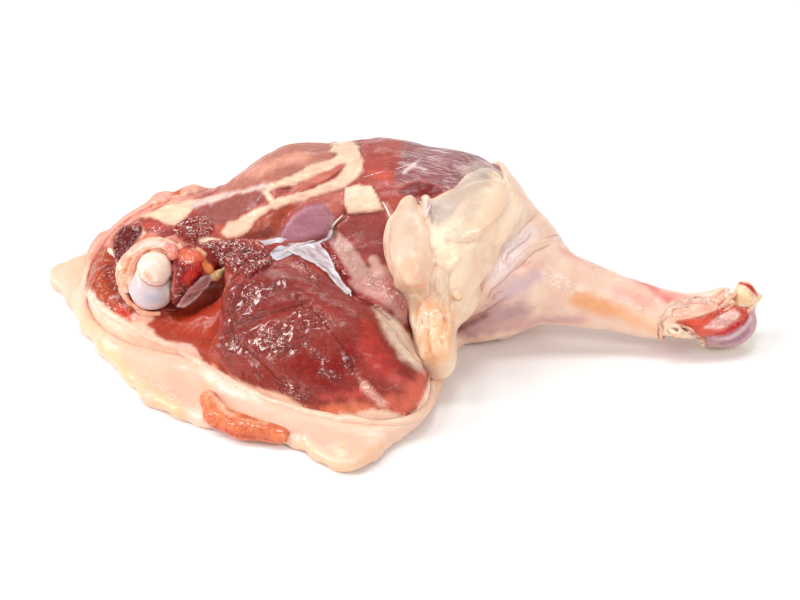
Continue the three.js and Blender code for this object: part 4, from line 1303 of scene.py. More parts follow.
# %% Knee fat, shape
core = Tissue("knee_core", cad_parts["knee_fat"].data, 0.5, rounds=4)
core.hug(meat, 2.4, 0.5)
core.shift(core.relief({
    "upper lobe, right": (-1.9, 2.0, [(518, 196, 1.0), (517, 212, 1.0), (506, 228, 1.0)]),
    "column, right": (-1.7, 1.5, [(484, 262, 1.0), (482, 280, 1.0), (474, 298, 1.0), (464, 312, 0.6)]),
    "left lobe, lower end": (-0.8, 2.0, [(396, 268, 1.0), (406, 282, 1.0)]),
}))
KNEE_LOBES = {
    "long lobe": (-1.6, [
        (411, 284, 1.6), (405, 268, 2.8), (400, 250, 3.4), (403, 232, 3.8), (406, 214, 3.4),
        (409, 203, 2.6), (411, 198, 1.7),
    ]),
    "long lobe, right": (-1.9, [
        (421, 286, 2.0), (418, 266, 3.0), (414, 246, 3.4), (415, 228, 3.4), (415, 210, 2.8),
    ]),
    "small lobe": (-0.2, [(422, 198, 0.8), (427, 204, 1.0), (427, 213, 0.8)]),
    "broad lobe": (-1.6, [
        (466, 184, 2.4), (478, 177, 2.6), (490, 174, 2.6), (500, 180, 2.2), (503, 194, 1.9),
    ]),
    "behind the broad lobe": (-1.8, [
        (450, 196, 2.2), (466, 190, 2.8), (480, 184, 2.8), (494, 184, 2.6), (502, 190, 2.2),
    ]),
    "web, top": (-1.2, [
        (506, 182, 1.4), (514, 192, 1.7), (519, 204, 1.8), (517, 218, 1.8), (506, 232, 2.0),
    ]),
    "web, right": (-1.1, [
        (506, 232, 2.0), (494, 243, 2.2), (487, 252, 2.2), (482, 264, 2.0), (479, 280, 1.7),
    ]),
    "web, low": (-0.9, [(479, 280, 1.6), (472, 294, 1.4), (464, 310, 1.2), (458, 322, 1.0)]),
    "web, left": (-0.9, [
        (398, 276, 1.6), (406, 290, 2.0), (411, 304, 2.2), (413, 320, 2.2), (414, 336, 1.8),
    ]),
    "web, inside": (-1.0, [(410, 278, 2.4), (414, 290, 2.6), (418, 304, 2.4), (420, 320, 2.2)]),
    "column, left": ((0.8,), [
        (413, 286, 1.8), (415, 296, 2.2), (416, 308, 2.2), (418, 322, 2.0), (420, 336, 1.6),
    ]),
    "under the ridge": (-1.3, [(474, 240, 2.2), (484, 250, 2.4), (486, 260, 2.2), (480, 274, 2.0)]),
}


def joined(name, *meshes):
    """Several meshes in one."""
    tidy, whole = bmesh.new(), bpy.data.meshes.new(name)
    for mesh in meshes:
        tidy.from_mesh(mesh)
    tidy.to_mesh(whole)
    tidy.free()
    return whole


beside_the_column = core.spot(426, 306)
rows = strand_rows([core, skin, meat], KNEE_LOBES, raised=beside_the_column)
rolls = balls_along("knee_rolls", rows, muscle)
knee = Tissue("knee_fat", joined("knee_fat", core.object.data, rolls), 0.45, levels=0, rounds=4)
knee.smooth(22, MELT)
knee.shift(np.full(len(knee.places), 0.35))
bpy.data.objects.remove(core.object)

# %% [markdown]
# ## Folds and colours of the knee fat
# Fat lets light in, so it looks soft even where it is folded. The folds are low strokes of height,
# with orange and red painted between them, and grey where flesh shows through. An orange shade is
# painted under the round globule, and the engraved creases are darkened as painted shade.

# %% Knee fat, relief and colours
KNEE_FORMS = {
    "hollow": (-1.2, 1.6, [(434, 208, 1.0), (444, 213, 1.4)]),
    "beside the long lobe": (-0.8, 0.8, [
        (420, 194, 0.2), (423, 212, 0.3), (429, 230, 0.3), (431, 250, 0.2),
    ]),
    "small lobe": (0.7, 0.6, [(426, 198, 0.4), (427, 210, 0.4)]),
    "ridge": (0.8, 0.6, [(447, 230, 0.2), (456, 235, 0.5), (467, 237, 0.4), (480, 232, 0.2)]),
    "below the ridge": (-0.7, 0.8, [(450, 242, 0.2), (464, 245, 0.3), (480, 240, 0.2)]),
    "lower ridge": (0.7, 0.5, [(436, 262, 0.3), (448, 267, 0.5), (457, 260, 0.3)]),
    "oval": (0.7, 0.6, [(439, 273, 0.5), (440, 288, 0.6)]),
    "low fold": (0.7, 0.7, [(424, 328, 0.4), (421, 342, 0.6), (424, 356, 0.4)]),
    "second low fold": (0.6, 0.7, [(438, 326, 0.3), (434, 340, 0.5), (437, 354, 0.3)]),
    "third low fold": (0.5, 0.6, [(449, 326, 0.3), (446, 340, 0.4), (447, 352, 0.3)]),
    "fold one": (-0.6, 0.8, [(434, 252, 0.2), (434, 266, 0.3), (430, 284, 0.2)]),
    "fold two": (-0.6, 0.7, [(449, 272, 0.2), (447, 288, 0.3), (449, 304, 0.3)]),
    "fold three": (-0.6, 0.7, [(416, 286, 0.2), (415, 304, 0.3), (417, 322, 0.3)]),
}
KNEE_WASHES = {
    "long lobe": ((218, 188, 164), 2.0, 0.6, [
        (410, 200, 1.6), (405, 214, 3.0), (402, 234, 4.0), (404, 252, 3.0),
    ]),
    "long lobe, low": ((238, 188, 158), 3.0, 0.8, [(410, 268, 3.0), (418, 286, 2.4)]),
    "small lobe": ((214, 198, 186), 1.0, 0.3, [(424, 198, 1.0), (427, 212, 0.9)]),
    "broad lobe": ((198, 176, 158), 3.0, 0.8, [(452, 200, 3.0), (468, 188, 3.6), (482, 178, 2.6)]),
    "broad lobe, middle": ((216, 192, 168), 2.5, 0.8, [
        (476, 202, 3.0), (488, 188, 2.6), (466, 216, 2.4),
    ]),
    "broad lobe, right": ((244, 208, 178), 2.5, 0.8, [(498, 186, 2.0), (496, 206, 3.0), (484, 222, 2.4)]),
    "broad lobe, top": ((204, 184, 172), 1.6, 0.6, [(470, 180, 1.0), (480, 173, 1.2), (494, 169, 0.8)]),
    "hollow": ((196, 176, 164), 2.6, 0.5, [
        (429, 201), (438, 198), (446, 197), (457, 202), (455, 213), (447, 221), (438, 227), (430, 222),
    ]),
    "hollow, dark": ((156, 128, 122), 0.8, 0.4, [(430, 204, 0.3), (431, 214, 0.5), (433, 224, 0.3)]),
    "right, by the skin": ((254, 222, 196), 3.0, 1.0, [
        (514, 196, 1.6), (514, 214, 2.4), (500, 232, 2.4), (488, 250, 2.0),
    ]),
    "loose fat": ((252, 222, 192), 2.0, 0.8, [(446, 246, 2.0), (462, 252, 3.0), (458, 274, 3.0)]),
    "orange fat": ((248, 196, 152), 3.0, 0.9, [
        (426, 306, 3.0), (444, 318, 3.4), (436, 336, 4.0), (436, 352, 4.0),
    ]),
    "pale folds": ((254, 222, 194), 1.2, 0.6, [(422, 330, 0.8), (420, 344, 0.9)]),
    "more pale folds": ((252, 214, 182), 0.8, 0.5, [(438, 326, 0.4), (434, 340, 0.5), (437, 354, 0.3)]),
    "red between": ((228, 142, 100), 0.8, 0.5, [(429, 316, 0.3), (429, 334, 0.5), (430, 350, 0.4)]),
    "second red": ((228, 146, 104), 0.7, 0.5, [(443, 300, 0.2), (444, 322, 0.4), (441, 342, 0.4)]),
    "pale ovals": ((252, 228, 204), 0.8, 0.4, [(439, 274, 0.9), (440, 288, 0.9)]),
    # painted shade: orange under the round globule
    "orange fold": ((236, 164, 100), 0.9, 0.4, [(450, 296, 0.4), (455, 300, 0.4), (461, 298, 0.3)]),
    "globule": ((255, 240, 214), 0.6, 0.2, [(457, 293, 1.0)]),
    "small globules": ((252, 218, 190), 0.8, 0.3, [(438, 313, 0.8), (440, 316, 0.8)]),
    "more globules": ((252, 218, 190), 0.8, 0.3, [(422, 294, 0.8), (424, 318, 0.9)]),
    "ridge": ((255, 242, 222), 1.0, 0.5, [(448, 231, 0.5), (460, 237, 0.9), (478, 233, 0.5)]),
}
knee_lumps = noise(knee.places, 3.4, 41, 2)
knee_crumbs = noise(knee.places, 1.5, 42, 2)
loose = knee.marked(0.06, {
    "ridge": (1.0, 1.4, [(449, 231, 0.8), (460, 237, 1.2), (478, 234, 0.8)]),
    "lower ridge": (0.9, 1.2, [(437, 263, 0.7), (449, 267, 0.9), (457, 261, 0.6)]),
    "loose": (0.6, 3.0, [(446, 270, 1.6), (436, 290, 2.6), (436, 320, 3.4), (436, 344, 3.0)]),
})
knee.shift(knee.relief(KNEE_FORMS) + 0.12 * knee_lumps + loose * (0.35 * knee_crumbs + 0.3 * knee_lumps))
knee_ground = mottled((246, 214, 186), 0.3 * knee_lumps, (255, 236, 212), (240, 208, 176))
knee.engrave({
    "beside the long lobe": (0.35, [
        (420, 193), (421, 206), (424, 218), (429, 231), (430, 246), (434, 260),
    ]),
    "broad lobe": (0.3, [(505, 178), (508, 190), (508, 203), (502, 215), (490, 226), (480, 233)]),
    "below the ridge": (0.3, [(444, 238), (454, 243), (468, 243), (482, 236), (492, 227)]),
    "under the globule": (0.5, [(451, 296), (454, 300), (460, 300), (463, 296)]),
    "low": (0.35, [(436, 250), (436, 262), (430, 278), (430, 294), (418, 306), (416, 322)]),
    "low right": (0.3, [(450, 270), (448, 286), (450, 302), (448, 320), (446, 340)]),
})
knee.finish(
    fatty, "fat", "knee_fat",
    colours=knee.washed(knee_ground, KNEE_WASHES),
    wet=0.06 + 0.25 * loose,
    crumbly=0.5 * loose,
)

# %% [markdown]
# ## The thigh bone
# Its head shows at the cut hip: a smooth cream ball with a bluish cap of gristle below it. The solid
# already has both, so only the seam between them is sunk and engraved, which darkens it as painted
# shade, and the cap is painted.

# %% The thigh bone
femur = Tissue("femur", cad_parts["femur"].data, 0.35)
femur.shift(femur.relief({
    "seam": (-1.1, 0.8, [
        (138, 275, 0.1), (144, 282, 0.2), (153, 286, 0.3), (164, 285, 0.2), (172, 277, 0.1),
    ]),
    "knob": (0.3, 2.0, [(142, 294, 1.0), (152, 298, 1.4), (162, 294, 1.0)]),
    "chip": (-0.4, 0.7, [(147, 274, 0.3), (152, 278, 0.3)]),
}) + 0.08 * noise(femur.places, 3, 51, 2))
femur_colours = femur.washed(srgb(246, 216, 200), {
    "knob": ((212, 194, 196), 1.2, 0.3, [
        (134, 272), (140, 280), (147, 285), (156, 288), (166, 285), (172, 278), (176, 288), (172, 300),
        (164, 308), (150, 312), (136, 306), (128, 292), (129, 280),
    ]),
    "knob, bluish": ((194, 186, 200), 1.6, 0.4, [(148, 297, 1.0), (158, 299, 1.0)]),
    "knob, cream side": ((236, 226, 208), 1.2, 0.4, [(167, 290, 0.8), (168, 297, 0.8)]),
    "seam": ((158, 132, 146), 0.8, 0.1, [
        (139, 277, 0.1), (145, 283, 0.3), (154, 287, 0.4), (164, 286, 0.3), (171, 279, 0.1),
    ]),
    "peach spot": ((248, 184, 148), 1.0, 0.4, [(145, 274, 0.4), (149, 278, 0.8)]),
    "pink side": ((240, 208, 198), 1.6, 0.3, [(168, 258, 0.8), (171, 268, 0.8)]),
    "lower rim": ((236, 150, 122), 0.7, 0.3, [
        (131, 300, 0.3), (142, 309, 0.4), (156, 311, 0.4), (168, 305, 0.4),
    ]),
})
femur.engrave({
    "seam": (0.9, [(138, 275), (143, 281), (149, 285), (156, 286.5), (164, 285), (170, 280), (173, 274)]),
    "chip": (0.4, [(145, 280), (147, 275), (151, 273)]),
})
femur.finish(gristle, "bone", "femur", colours=femur_colours, wet=0.1, crumbly=0.0)

# %% [markdown]
# ## The shin bone
# The foot was cut off at the hock, so the rolling joint of the shin shows, with mauve gristle, a
# yellow knob and a red crescent of blood. It is made in the same way as the thigh bone.

# %% The shin bone
shin = Tissue("shin_bone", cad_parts["shin_bone"].data, 0.4)
shin.shift(shin.relief({
    "fold of the knob": (-0.5, 0.5, [(733, 300, 0.2), (737, 310, 0.2), (745, 316, 0.2)]),
    "nub": (0.2, 0.5, [(760, 296, 0.3), (761, 304, 0.3)]),
}) + 0.12 * noise(shin.places, 2.5, 52, 2))
shin_colours = shin.washed(srgb(244, 214, 176), {
    "above the joint": ((206, 44, 34), 0.8, 0.3, OUTLINES["above the condyle"]),
    "joint": ((196, 148, 154), 1.0, 0.3, OUTLINES["condyle"]),
    "joint, dark": ((166, 112, 128), 1.6, 0.6, [(722, 343, 0.6), (740, 338, 1.0), (748, 330, 0.8)]),
    "joint, pale": ((226, 192, 194), 1.2, 0.4, [
        (714, 338, 0.4), (730, 338, 0.5), (744, 328, 0.5), (751, 318, 0.5),
    ]),
    "joint, pink": ((226, 148, 146), 1.2, 0.4, [(754, 328, 0.5), (757, 316, 0.6)]),
    "knob": ((248, 212, 166), 1.0, 0.4, [(740, 296, 1.8), (748, 300, 1.6)]),
    "nub": ((246, 212, 160), 1.0, 0.3, [(756, 300, 0.8), (762, 299, 1.0)]),
    "crescent": ((190, 30, 28), 0.6, 0.2, [
        (740, 283, 0.4), (747, 285, 0.7), (753, 289, 0.9), (757, 295, 0.6),
    ]),
    # painted highlight: a thin light line on the wet red crescent
    "crescent, light": ((230, 120, 104), 0.4, 0.2, [(750, 291, 0.1), (753, 295, 0.15)]),
    "under the knob": ((246, 196, 176), 0.9, 0.3, [(738, 307, 0.5), (748, 311, 0.5), (754, 306, 0.4)]),
    "below the knob": ((206, 46, 36), 0.7, 0.2, [(741, 313, 0.4), (747, 316, 0.5), (743, 324, 0.4)]),
})
shin.engrave({
    "crescent": (0.4, [(739, 284), (746, 290), (752, 296), (755, 299)]),
    "knob": (0.6, [(733, 304), (740, 307), (748, 308), (755, 303)]),
    "joint": (0.6, [(704, 333), (714, 338), (726, 336), (736, 331), (744, 323), (748, 315)]),
})
shin.finish(gristle, "bone", "shin_bone", colours=shin_colours, wet=0.05, crumbly=0.1)

# %% [markdown]
# ## The scrap of meat
# A strip of flesh was left on the rim of the flap. Its solid stands on the skin like a sausage, so
# it is drawn a third of the way towards the skin and then melted flat.

# %% The scrap of meat
strip = Tissue("meat_strip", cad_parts["meat_strip"].data, 0.35)
strip.hug(skin, 1.6, 0.3)
nearest, _ = strip.gap_to(skin, 8)
strip.places += 0.3 * (nearest - strip.places)
strip.smooth(24, MELT)
strip_lumps = noise(strip.places, 2.2, 61, 2)
strip.shift(0.35 + 0.2 * strip_lumps)
strip_ground = mottled((226, 122, 78), 0.4 * strip_lumps, (238, 150, 108), (206, 90, 54))
strip_colours = strip.washed(strip_ground, {
    "upper side": ((248, 194, 156), 1.4, 0.5, [
        (204, 386, 0.6), (214, 396, 0.9), (226, 410, 0.8), (240, 417, 0.6), (266, 422, 0.5),
    ]),
    "lower side": ((204, 78, 44), 1.4, 0.5, [
        (214, 428, 0.6), (236, 437, 0.7), (262, 439, 0.6), (286, 442, 0.5),
    ]),
    "left end": ((240, 158, 112), 1.2, 0.5, [(203, 388, 0.6), (208, 404, 0.6)]),
    "right end": ((236, 150, 108), 1.2, 0.5, [(284, 436, 0.5), (290, 440, 0.5)]),
})
# the ridge is crumbly, so the shader paints white sparks along it as glints
ridge = {"ridge": (1.0, 0.8, [(208, 404, 0.4), (218, 416, 0.8), (236, 422, 0.9), (260, 427, 0.7)])}
strip.finish(
    muscle, "meat", "meat_strip",
    colours=strip_colours,
    wet=0.5,
    crumbly=strip.marked(0.1, ridge),
)

# %% [markdown]
# ## Round the hip joint
# The ball of the thigh bone sits in its torn capsule, a pale peach ring. To its right hang what is
# left of the small hip muscles, a bright red bundle with a pink nub on it, and below them a hollow
# reaches under the bone, crossed by pale folds of loose tissue.

# %% The capsule
BALL = np.array([-61.6, -0.9, 27.3])  # mm, the middle of the ball of the thigh bone
RING = [
    (124, 285, 0.9), (122, 275, 1.2), (125, 266, 1.4), (132, 257, 1.5), (141, 250, 1.5), (151, 246, 1.4),
    (161, 245, 1.3), (172, 248, 1.1), (180, 253, 0.8),
]
INNER = [
    (131, 284, 0.8), (132, 274, 1.0), (135, 263, 1.3), (141, 254, 1.5), (149, 249, 1.5), (158, 247.5, 1.4),
    (166, 250, 1.2), (173, 256, 0.8),
]


def thicker(line, times):
    """A line of the picture with larger radii."""
    return [(x, y, times * radius) for x, y, radius in line]


capsule = strands("capsule", 0.32, [meat], {
    "rim": ((0.9,), INNER),
    "throat": ((0.6,), INNER),
    "deep throat": ((0.3,), INNER),
    "ring": ((0.75,), RING),
    "skirt": ((0.5,), thicker(RING, 1.2)),
    "low skirt": ((0.25,), thicker(RING, 1.4)),
    "foot": ((0.0,), thicker(RING, 1.5)),
    "between": ((0.7,), [(127, 289, 1.0), (127, 278, 1.3), (129, 269, 1.4), (134, 261, 1.4)]),
    "between, low": ((0.35,), [(127, 289, 1.2), (127, 278, 1.6), (129, 269, 1.6), (134, 261, 1.6)]),
    "thread": ((0.7,), [(180, 244, 0.5), (182.5, 252, 0.5), (181, 262, 0.45), (178, 272, 0.4)]),
    "below": ((0.5,), [
        (120, 282, 0.9), (124, 293, 0.7), (132, 304, 0.6), (146, 312, 0.5), (160, 313, 0.4),
    ]),
    "below, low": ((0.2,), [
        (120, 282, 1.2), (124, 293, 1.1), (132, 304, 0.9), (146, 313, 0.7), (160, 314, 0.5),
    ]),
    "strand": (0.0, [(110, 250, 0.7), (116, 256, 0.8), (120, 268, 0.7)]),
}, 14, raised=BALL + [0, 2.0, 0])
capsule_lumps = noise(capsule.places, 2.2, 71, 2)
capsule.shift(0.35 * capsule_lumps)
capsule_ground = mottled((230, 172, 144), 0.7 * capsule_lumps, (246, 204, 182), (214, 132, 102))
capsule_colours = capsule.washed(capsule_ground, {
    # painted shade: orange on the inside of the ring next to the ball
    "orange inside": ((222, 132, 102), 1.0, 0.4, [(130, 276, 0.4), (132, 264, 0.5), (140, 253, 0.4)]),
    # painted highlight: a pink-white sheen along the top of the ring
    "pink sheen": ((240, 206, 194), 1.2, 0.5, [(136, 250, 0.7), (150, 243, 0.9), (166, 244, 0.8)]),
    "peach left": ((232, 170, 130), 1.2, 0.5, [(122, 268, 0.8), (122, 280, 0.7)]),
    "red side": ((206, 96, 84), 1.0, 0.4, [(172, 262, 0.5), (176, 270, 0.4)]),
    "lower rim": ((238, 160, 130), 1.2, 0.4, [(126, 298, 0.5), (150, 313, 0.6), (166, 311, 0.5)]),
    "strand": ((236, 214, 194), 0.8, 0.2, [(110, 250, 0.7), (116, 257, 0.8), (119, 268, 0.6)]),
})
capsule.engrave({
    "inner": (0.8, [(133, 286), (134, 274), (137, 263), (143, 255), (151, 250), (160, 249), (168, 253)]),
    "outer": (0.4, [(124, 276), (128, 264), (136, 254), (148, 247)]),
})
capsule.finish(fatty, "fat", colours=capsule_colours, wet=0.15, crumbly=0.25 + 0.25 * capsule.ragged)

# %% [markdown]
# ## The small hip muscles
# What is left of them is a torn bundle beside the ball. Three thick strands that touch melt into
# one lump with the direction of fibres, which a ball or a box pushed into shape wouldn't have.

# %% The small hip muscles
bundle = strands("hip_muscles", 0.35, [meat], {
    "front": (1.0, [(176, 300, 1.0), (178, 288, 2.3), (184, 275, 3.3), (192, 264, 3.6), (200, 255, 2.4)]),
    "back": (0.6, [(176, 268, 1.8), (186, 258, 2.8), (198, 256, 3.0), (209, 262, 2.4)]),
    "right": (0.8, [(181, 298, 1.4), (190, 286, 2.2), (200, 274, 2.6), (208, 266, 2.2)]),
})
bundle_lumps = noise(turned(bundle.places, -35), (5, 1.6, 1.6), 72, 2)
bundle.shift(0.35 * bundle_lumps)
bundle_ground = mottled((140, 24, 16), 0.4 * bundle_lumps, (190, 64, 40), (120, 20, 18))
bundle_colours = bundle.washed(bundle_ground, {
    "salmon top": ((218, 100, 70), 1.6, 0.5, [(184, 254, 1.8), (194, 256, 2.2), (202, 258, 1.6)]),
    "bright": ((196, 38, 20), 1.6, 0.5, [(188, 278, 1.2), (196, 270, 1.4), (200, 264, 1.0)]),
    "orange": ((236, 140, 78), 1.0, 0.4, [(205, 264, 0.9), (210, 270, 1.0)]),
    "cream corner": ((242, 190, 150), 0.8, 0.3, [(198, 249, 0.5), (205, 254, 0.5)]),
    "pink side": ((200, 104, 96), 1.0, 0.4, [(174, 268, 0.6), (173, 282, 0.6), (172, 292, 0.5)]),
    "dark end": ((112, 24, 22), 1.6, 0.5, [(176, 302, 1.0), (184, 294, 1.2), (184, 286, 0.8)]),
})
torn_ends = bundle.marked(0.1, {
    "top": (0.7, 1.2, [(184, 258, 0.9), (192, 259, 1.2), (180, 266, 0.6)]),
    "end": (0.6, 1.2, [(178, 296, 0.9), (184, 290, 0.7)]),
})
bundle.finish(muscle, "meat", colours=bundle_colours, wet=0.3, crumbly=torn_ends)
nub = strands("pink_nub", 0.28, [meat, bundle], {
    "nub": (0.9, [(167, 249, 1.2), (172, 252, 1.6), (175, 257, 1.5)]),
}, 4)
nub_colours = nub.washed(srgb(230, 132, 116), {
    # painted shade at the lower end of the nub and a painted highlight at its top
    "shade": ((190, 70, 60), 1.0, 0.3, [(176, 262, 0.6)]),
    "light": ((244, 170, 154), 1.0, 0.3, [(169, 250, 0.5)]),
})
nub.finish(fatty, "meat", colours=nub_colours, wet=0.2, crumbly=0.3)

# %% [markdown]
# ## The tan lump
# A small tan and green lump lies at the right end of the bundle. It is a strand too, short and
# thick, roughened by fine noise.

# %% The tan lump
lump = strands("tan_lump", 0.3, [meat, bundle], {
    "lump": (0.3, [(211, 276, 0.9), (216, 277, 1.4), (221, 274, 1.1)]),
    "tail": (0.2, [(221, 274, 0.9), (226, 269, 0.6)]),
}, 5)
lump.shift(0.25 * noise(lump.places, 1.6, 73, 2))
lump_colours = lump.washed(srgb(204, 160, 104), {
    "green side": ((150, 120, 76), 1.0, 0.4, [(221, 274, 0.6), (225, 270, 0.4)]),
    # painted shade: the lower side of the lump is painted dark
    "dark side": ((110, 50, 40), 0.8, 0.3, [(213, 281, 0.4), (220, 281, 0.4)]),
})
lump.finish(fatty, "meat", colours=lump_colours, wet=0.4, crumbly=0.5)

# %% [markdown]
# ## Films
# Thin silvery membranes wrap the muscles. Where the knife lifted them they hang as wet films: a
# band below the dome with a web that runs down from it, and a folded flap to the right. A film is
# stretched over the tissues like cling film, so it bridges the grooves, and its edge frays. Cloth
# simulation could do this too, but it takes longer and its result is hard to keep in place.

# %% Films
FILM_STEP = 0.8  # points of the picture between two rows of a film
FILM_ROUNDS = 120  # how often a film is pulled straight


def steps(values):
    """Even steps from just before the least value to just past the greatest."""
    return np.arange(min(values) - FILM_STEP, max(values) + 2 * FILM_STEP, FILM_STEP)


def film(name, tissues, outline, lift):
    """A film over tissues, lifted in mm, also by a function of x: its mesh, places and rim distance."""
    xs = steps([x for x, _ in outline])
    ys = steps([y for _, y in outline])
    rays = np.array([[sight(x, y) for x in xs] for y in ys])
    grid = np.stack(np.meshgrid(xs, ys), -1)
    within = depth_in(grid.reshape(-1, 2), outline).reshape(grid.shape[:2])
    keep = within > -FILM_STEP
    floor = np.full(keep.shape, np.nan)
    for row, column in np.argwhere(keep):
        place, _ = nearest_hit(xs[column], ys[row], tissues)
        raised = lift(xs[column]) if callable(lift) else lift
        floor[row, column] = (place - EYE) @ rays[row, column] - raised
    reach = floor.copy()
    for _ in range(FILM_ROUNDS):
        padded = np.pad(reach, 1, constant_values=np.nan)
        around = [padded[:-2, 1:-1], padded[2:, 1:-1], padded[1:-1, :-2], padded[1:-1, 2:]]
        stack = np.where(np.isnan(np.stack(around)), reach, np.stack(around))
        reach = np.where(keep, np.minimum(stack.mean(0), floor), np.nan)
    index = np.full(keep.shape, -1)
    index[keep] = np.arange(keep.sum())
    places = (EYE + rays * reach[..., None])[keep]
    corners = [index[1:, :-1], index[1:, 1:], index[:-1, 1:], index[:-1, :-1]]
    quads = np.stack(corners, -1).reshape(-1, 4)
    quads = quads[(quads >= 0).all(1)]
    mesh = bpy.data.meshes.new(name)
    mesh.from_pydata((places * MM).tolist(), [], quads.tolist())
    return mesh, places, within[keep] * PIXEL


def film_piece(name, tissues, outline, lift, colour, veil, rim, turn, seed, soft=0.4):
    """A frayed film: veil is how opaque its middle is, rim how opaque its edge and soft how wide."""
    mesh, places, border = film(name, tissues, outline, lift)
    fray = border + 0.35 * noise(places, 1.2, seed, 2)
    streaks = noise(turned(places, turn), (6, 0.7, 0.9), seed + 1, 2)
    edge = np.exp(-((border - 1.1 * soft) / soft) ** 2)
    body = np.clip(veil + 0.35 * streaks + 0.15 * noise(places, 3, seed + 2), 0, 1)
    opaque = smoothstep(fray / (0.9 * soft)) * np.maximum(body, rim * edge)
    whole = placed(name, mesh)
    keep_numbers(mesh, "veil", opaque)
    keep_colours(mesh, srgb(*colour) * (1 + 0.25 * streaks[:, None]) + 0.1 * edge[:, None])
    mesh.materials.append(membrane)
    mesh.shade_smooth()
    rides(whole)


def lift_of_the_flap(x):
    """The flap lies close on the left and rises to the right."""
    return 0.6 + 1.4 * max(0.0, min(1.0, (x - 285) / 60))


shader = Shader("membrane")
veil = shader.mark("veil")
ripples = shader.noise((4, 0.9, 0.9), 2)
membrane = shader.finish(
    Base_Color=shader.mark("tint", colour=True),
    Alpha=veil,
    Roughness=0.22,
    Specular_IOR_Level=0.6,
    Normal=shader.bump(ripples, 0.25),
)
film_piece("film_band", [meat], [
    (234, 243), (244, 239), (262, 240), (280, 237), (296, 240), (310, 238), (324, 233), (335, 226),
    (332, 238), (318, 245), (303, 250), (290, 256), (281, 262), (273, 260), (268, 254), (256, 249),
    (244, 247),
], 0.4, (206, 202, 210), 0.75, 0.85, 15, 81)
film_piece("film_flap", [meat], [
    (286, 250), (300, 245), (319, 242), (329, 254), (336, 270), (344, 283), (352, 291), (347, 296),
    (337, 286), (326, 273), (315, 264), (300, 257),
], lift_of_the_flap, (220, 212, 218), 0.7, 1.0, -35, 84, soft=0.3)
film_piece("film_dome", [meat], [
    (276, 238), (283, 226), (290, 217), (297, 210), (305, 205), (314, 202), (324, 204), (330, 211),
    (332, 222), (331, 231), (326, 237), (316, 241), (297, 243), (284, 242),
], 0.3, (196, 168, 184), 0.12, 0.5, 40, 87, soft=1.1)
film_piece("film_bundle", [meat, bundle], [
    (176, 307), (181, 298), (188, 289), (196, 281), (204, 275), (211, 274), (212, 280), (208, 288),
    (200, 296), (191, 304), (182, 309),
], 0.5, (178, 122, 122), 0.85, 1.0, 50, 90)

# %% [markdown]
# ## Fine strands
# Pale threads and torn ridges lie on top of the muscles and the fat. The meshes below are too
# coarse to carry them, so they are melted from thin strings of balls, like the tendons.

# %% Fine strands
threads = strands("threads", 0.25, [meat, knee], {
    "ridge of the flap": (0.4, [(281, 257, 0.2), (290, 250, 0.3), (303, 244, 0.35), (324, 238, 0.2)]),
    "second ridge": (0.3, [(284, 252, 0.2), (296, 245, 0.25), (310, 239, 0.25), (328, 233, 0.2)]),
    "by the dome": (0.0, [(328, 232, 0.25), (336, 222, 0.35), (343, 215, 0.25)]),
    "across": (0.1, [(352, 181, 0.2), (376, 174, 0.25), (400, 168, 0.25), (412, 164, 0.2)]),
    "by the trapezoid": (0.2, [(375, 193, 0.3), (384, 204, 0.35), (391, 218, 0.3)]),
    "lobe strand": (0.4, [(425, 219, 0.25), (428, 212, 0.35), (431, 204, 0.25)]),
    "flap end": (0.8, [(343, 296, 0.3), (350, 293, 0.4), (351, 299, 0.3)]),
    "hollow edge": (0.2, [(200, 244, 0.3), (207, 250, 0.4), (213, 259, 0.3)]),
    "ham edge": (0.1, [(322, 300, 0.3), (318, 308, 0.35), (322, 320, 0.3)]),
}, 4)
threads_colours = srgb(236, 212, 204) * (1 + 0.15 * threads.ragged[:, None])
threads.finish(fatty, "fat", colours=threads_colours, wet=0.1, crumbly=0.3)

# %% [markdown]
# ## Globules and pores
# Loose fat is made of globules, and the skin has a pore wherever a feather sat. Both are small
# rounded things strewn over a surface, so one node tree makes them: it draws points where an
# attribute allows it, keeps them apart, and puts a small ball of random size on each. The largest
# globules lie where the picture shows them, as short strands.

# %% Globules and pores
DENSEST = 4e6  # points on a square metre before they are kept apart
strew = Growth("strewn balls", ["Apart", "Smallest", "Largest", "Seed"])
inputs = {"Mesh": strew.input["Geometry"], "Distance Min": strew.input["Apart"], "Density Max": DENSEST}
inputs |= {"Density Factor": strew.attribute("allowed"), "Seed": strew.input["Seed"]}
points = strew.node("GeometryNodeDistributePointsOnFaces", {"distribute_method": "POISSON"}, inputs)
inputs = {"Min_001": strew.input["Smallest"], "Max_001": strew.input["Largest"], "Seed": strew.input["Seed"]}
size = strew.node("FunctionNodeRandomValue", {"data_type": "FLOAT"}, inputs, 1)
ball = strew.node("GeometryNodeMeshIcoSphere", inputs={"Radius": 1.0, "Subdivisions": 1})
inputs = {"Points": points, "Instance": ball, "Scale": size}
strew.close(strew.node("GeometryNodeInstanceOnPoints", inputs=inputs))


def strewn(name, tissue, allowed, material, apart, smallest, largest, seed):
    """Small balls strewn over a tissue, as a plain mesh."""
    mesh = tissue.object.data.copy()
    keep_numbers(mesh, "allowed", allowed)
    sizes = {"Apart": apart * MM, "Smallest": smallest * MM, "Largest": largest * MM, "Seed": float(seed)}
    return strew.grow(name, mesh, material, **sizes)


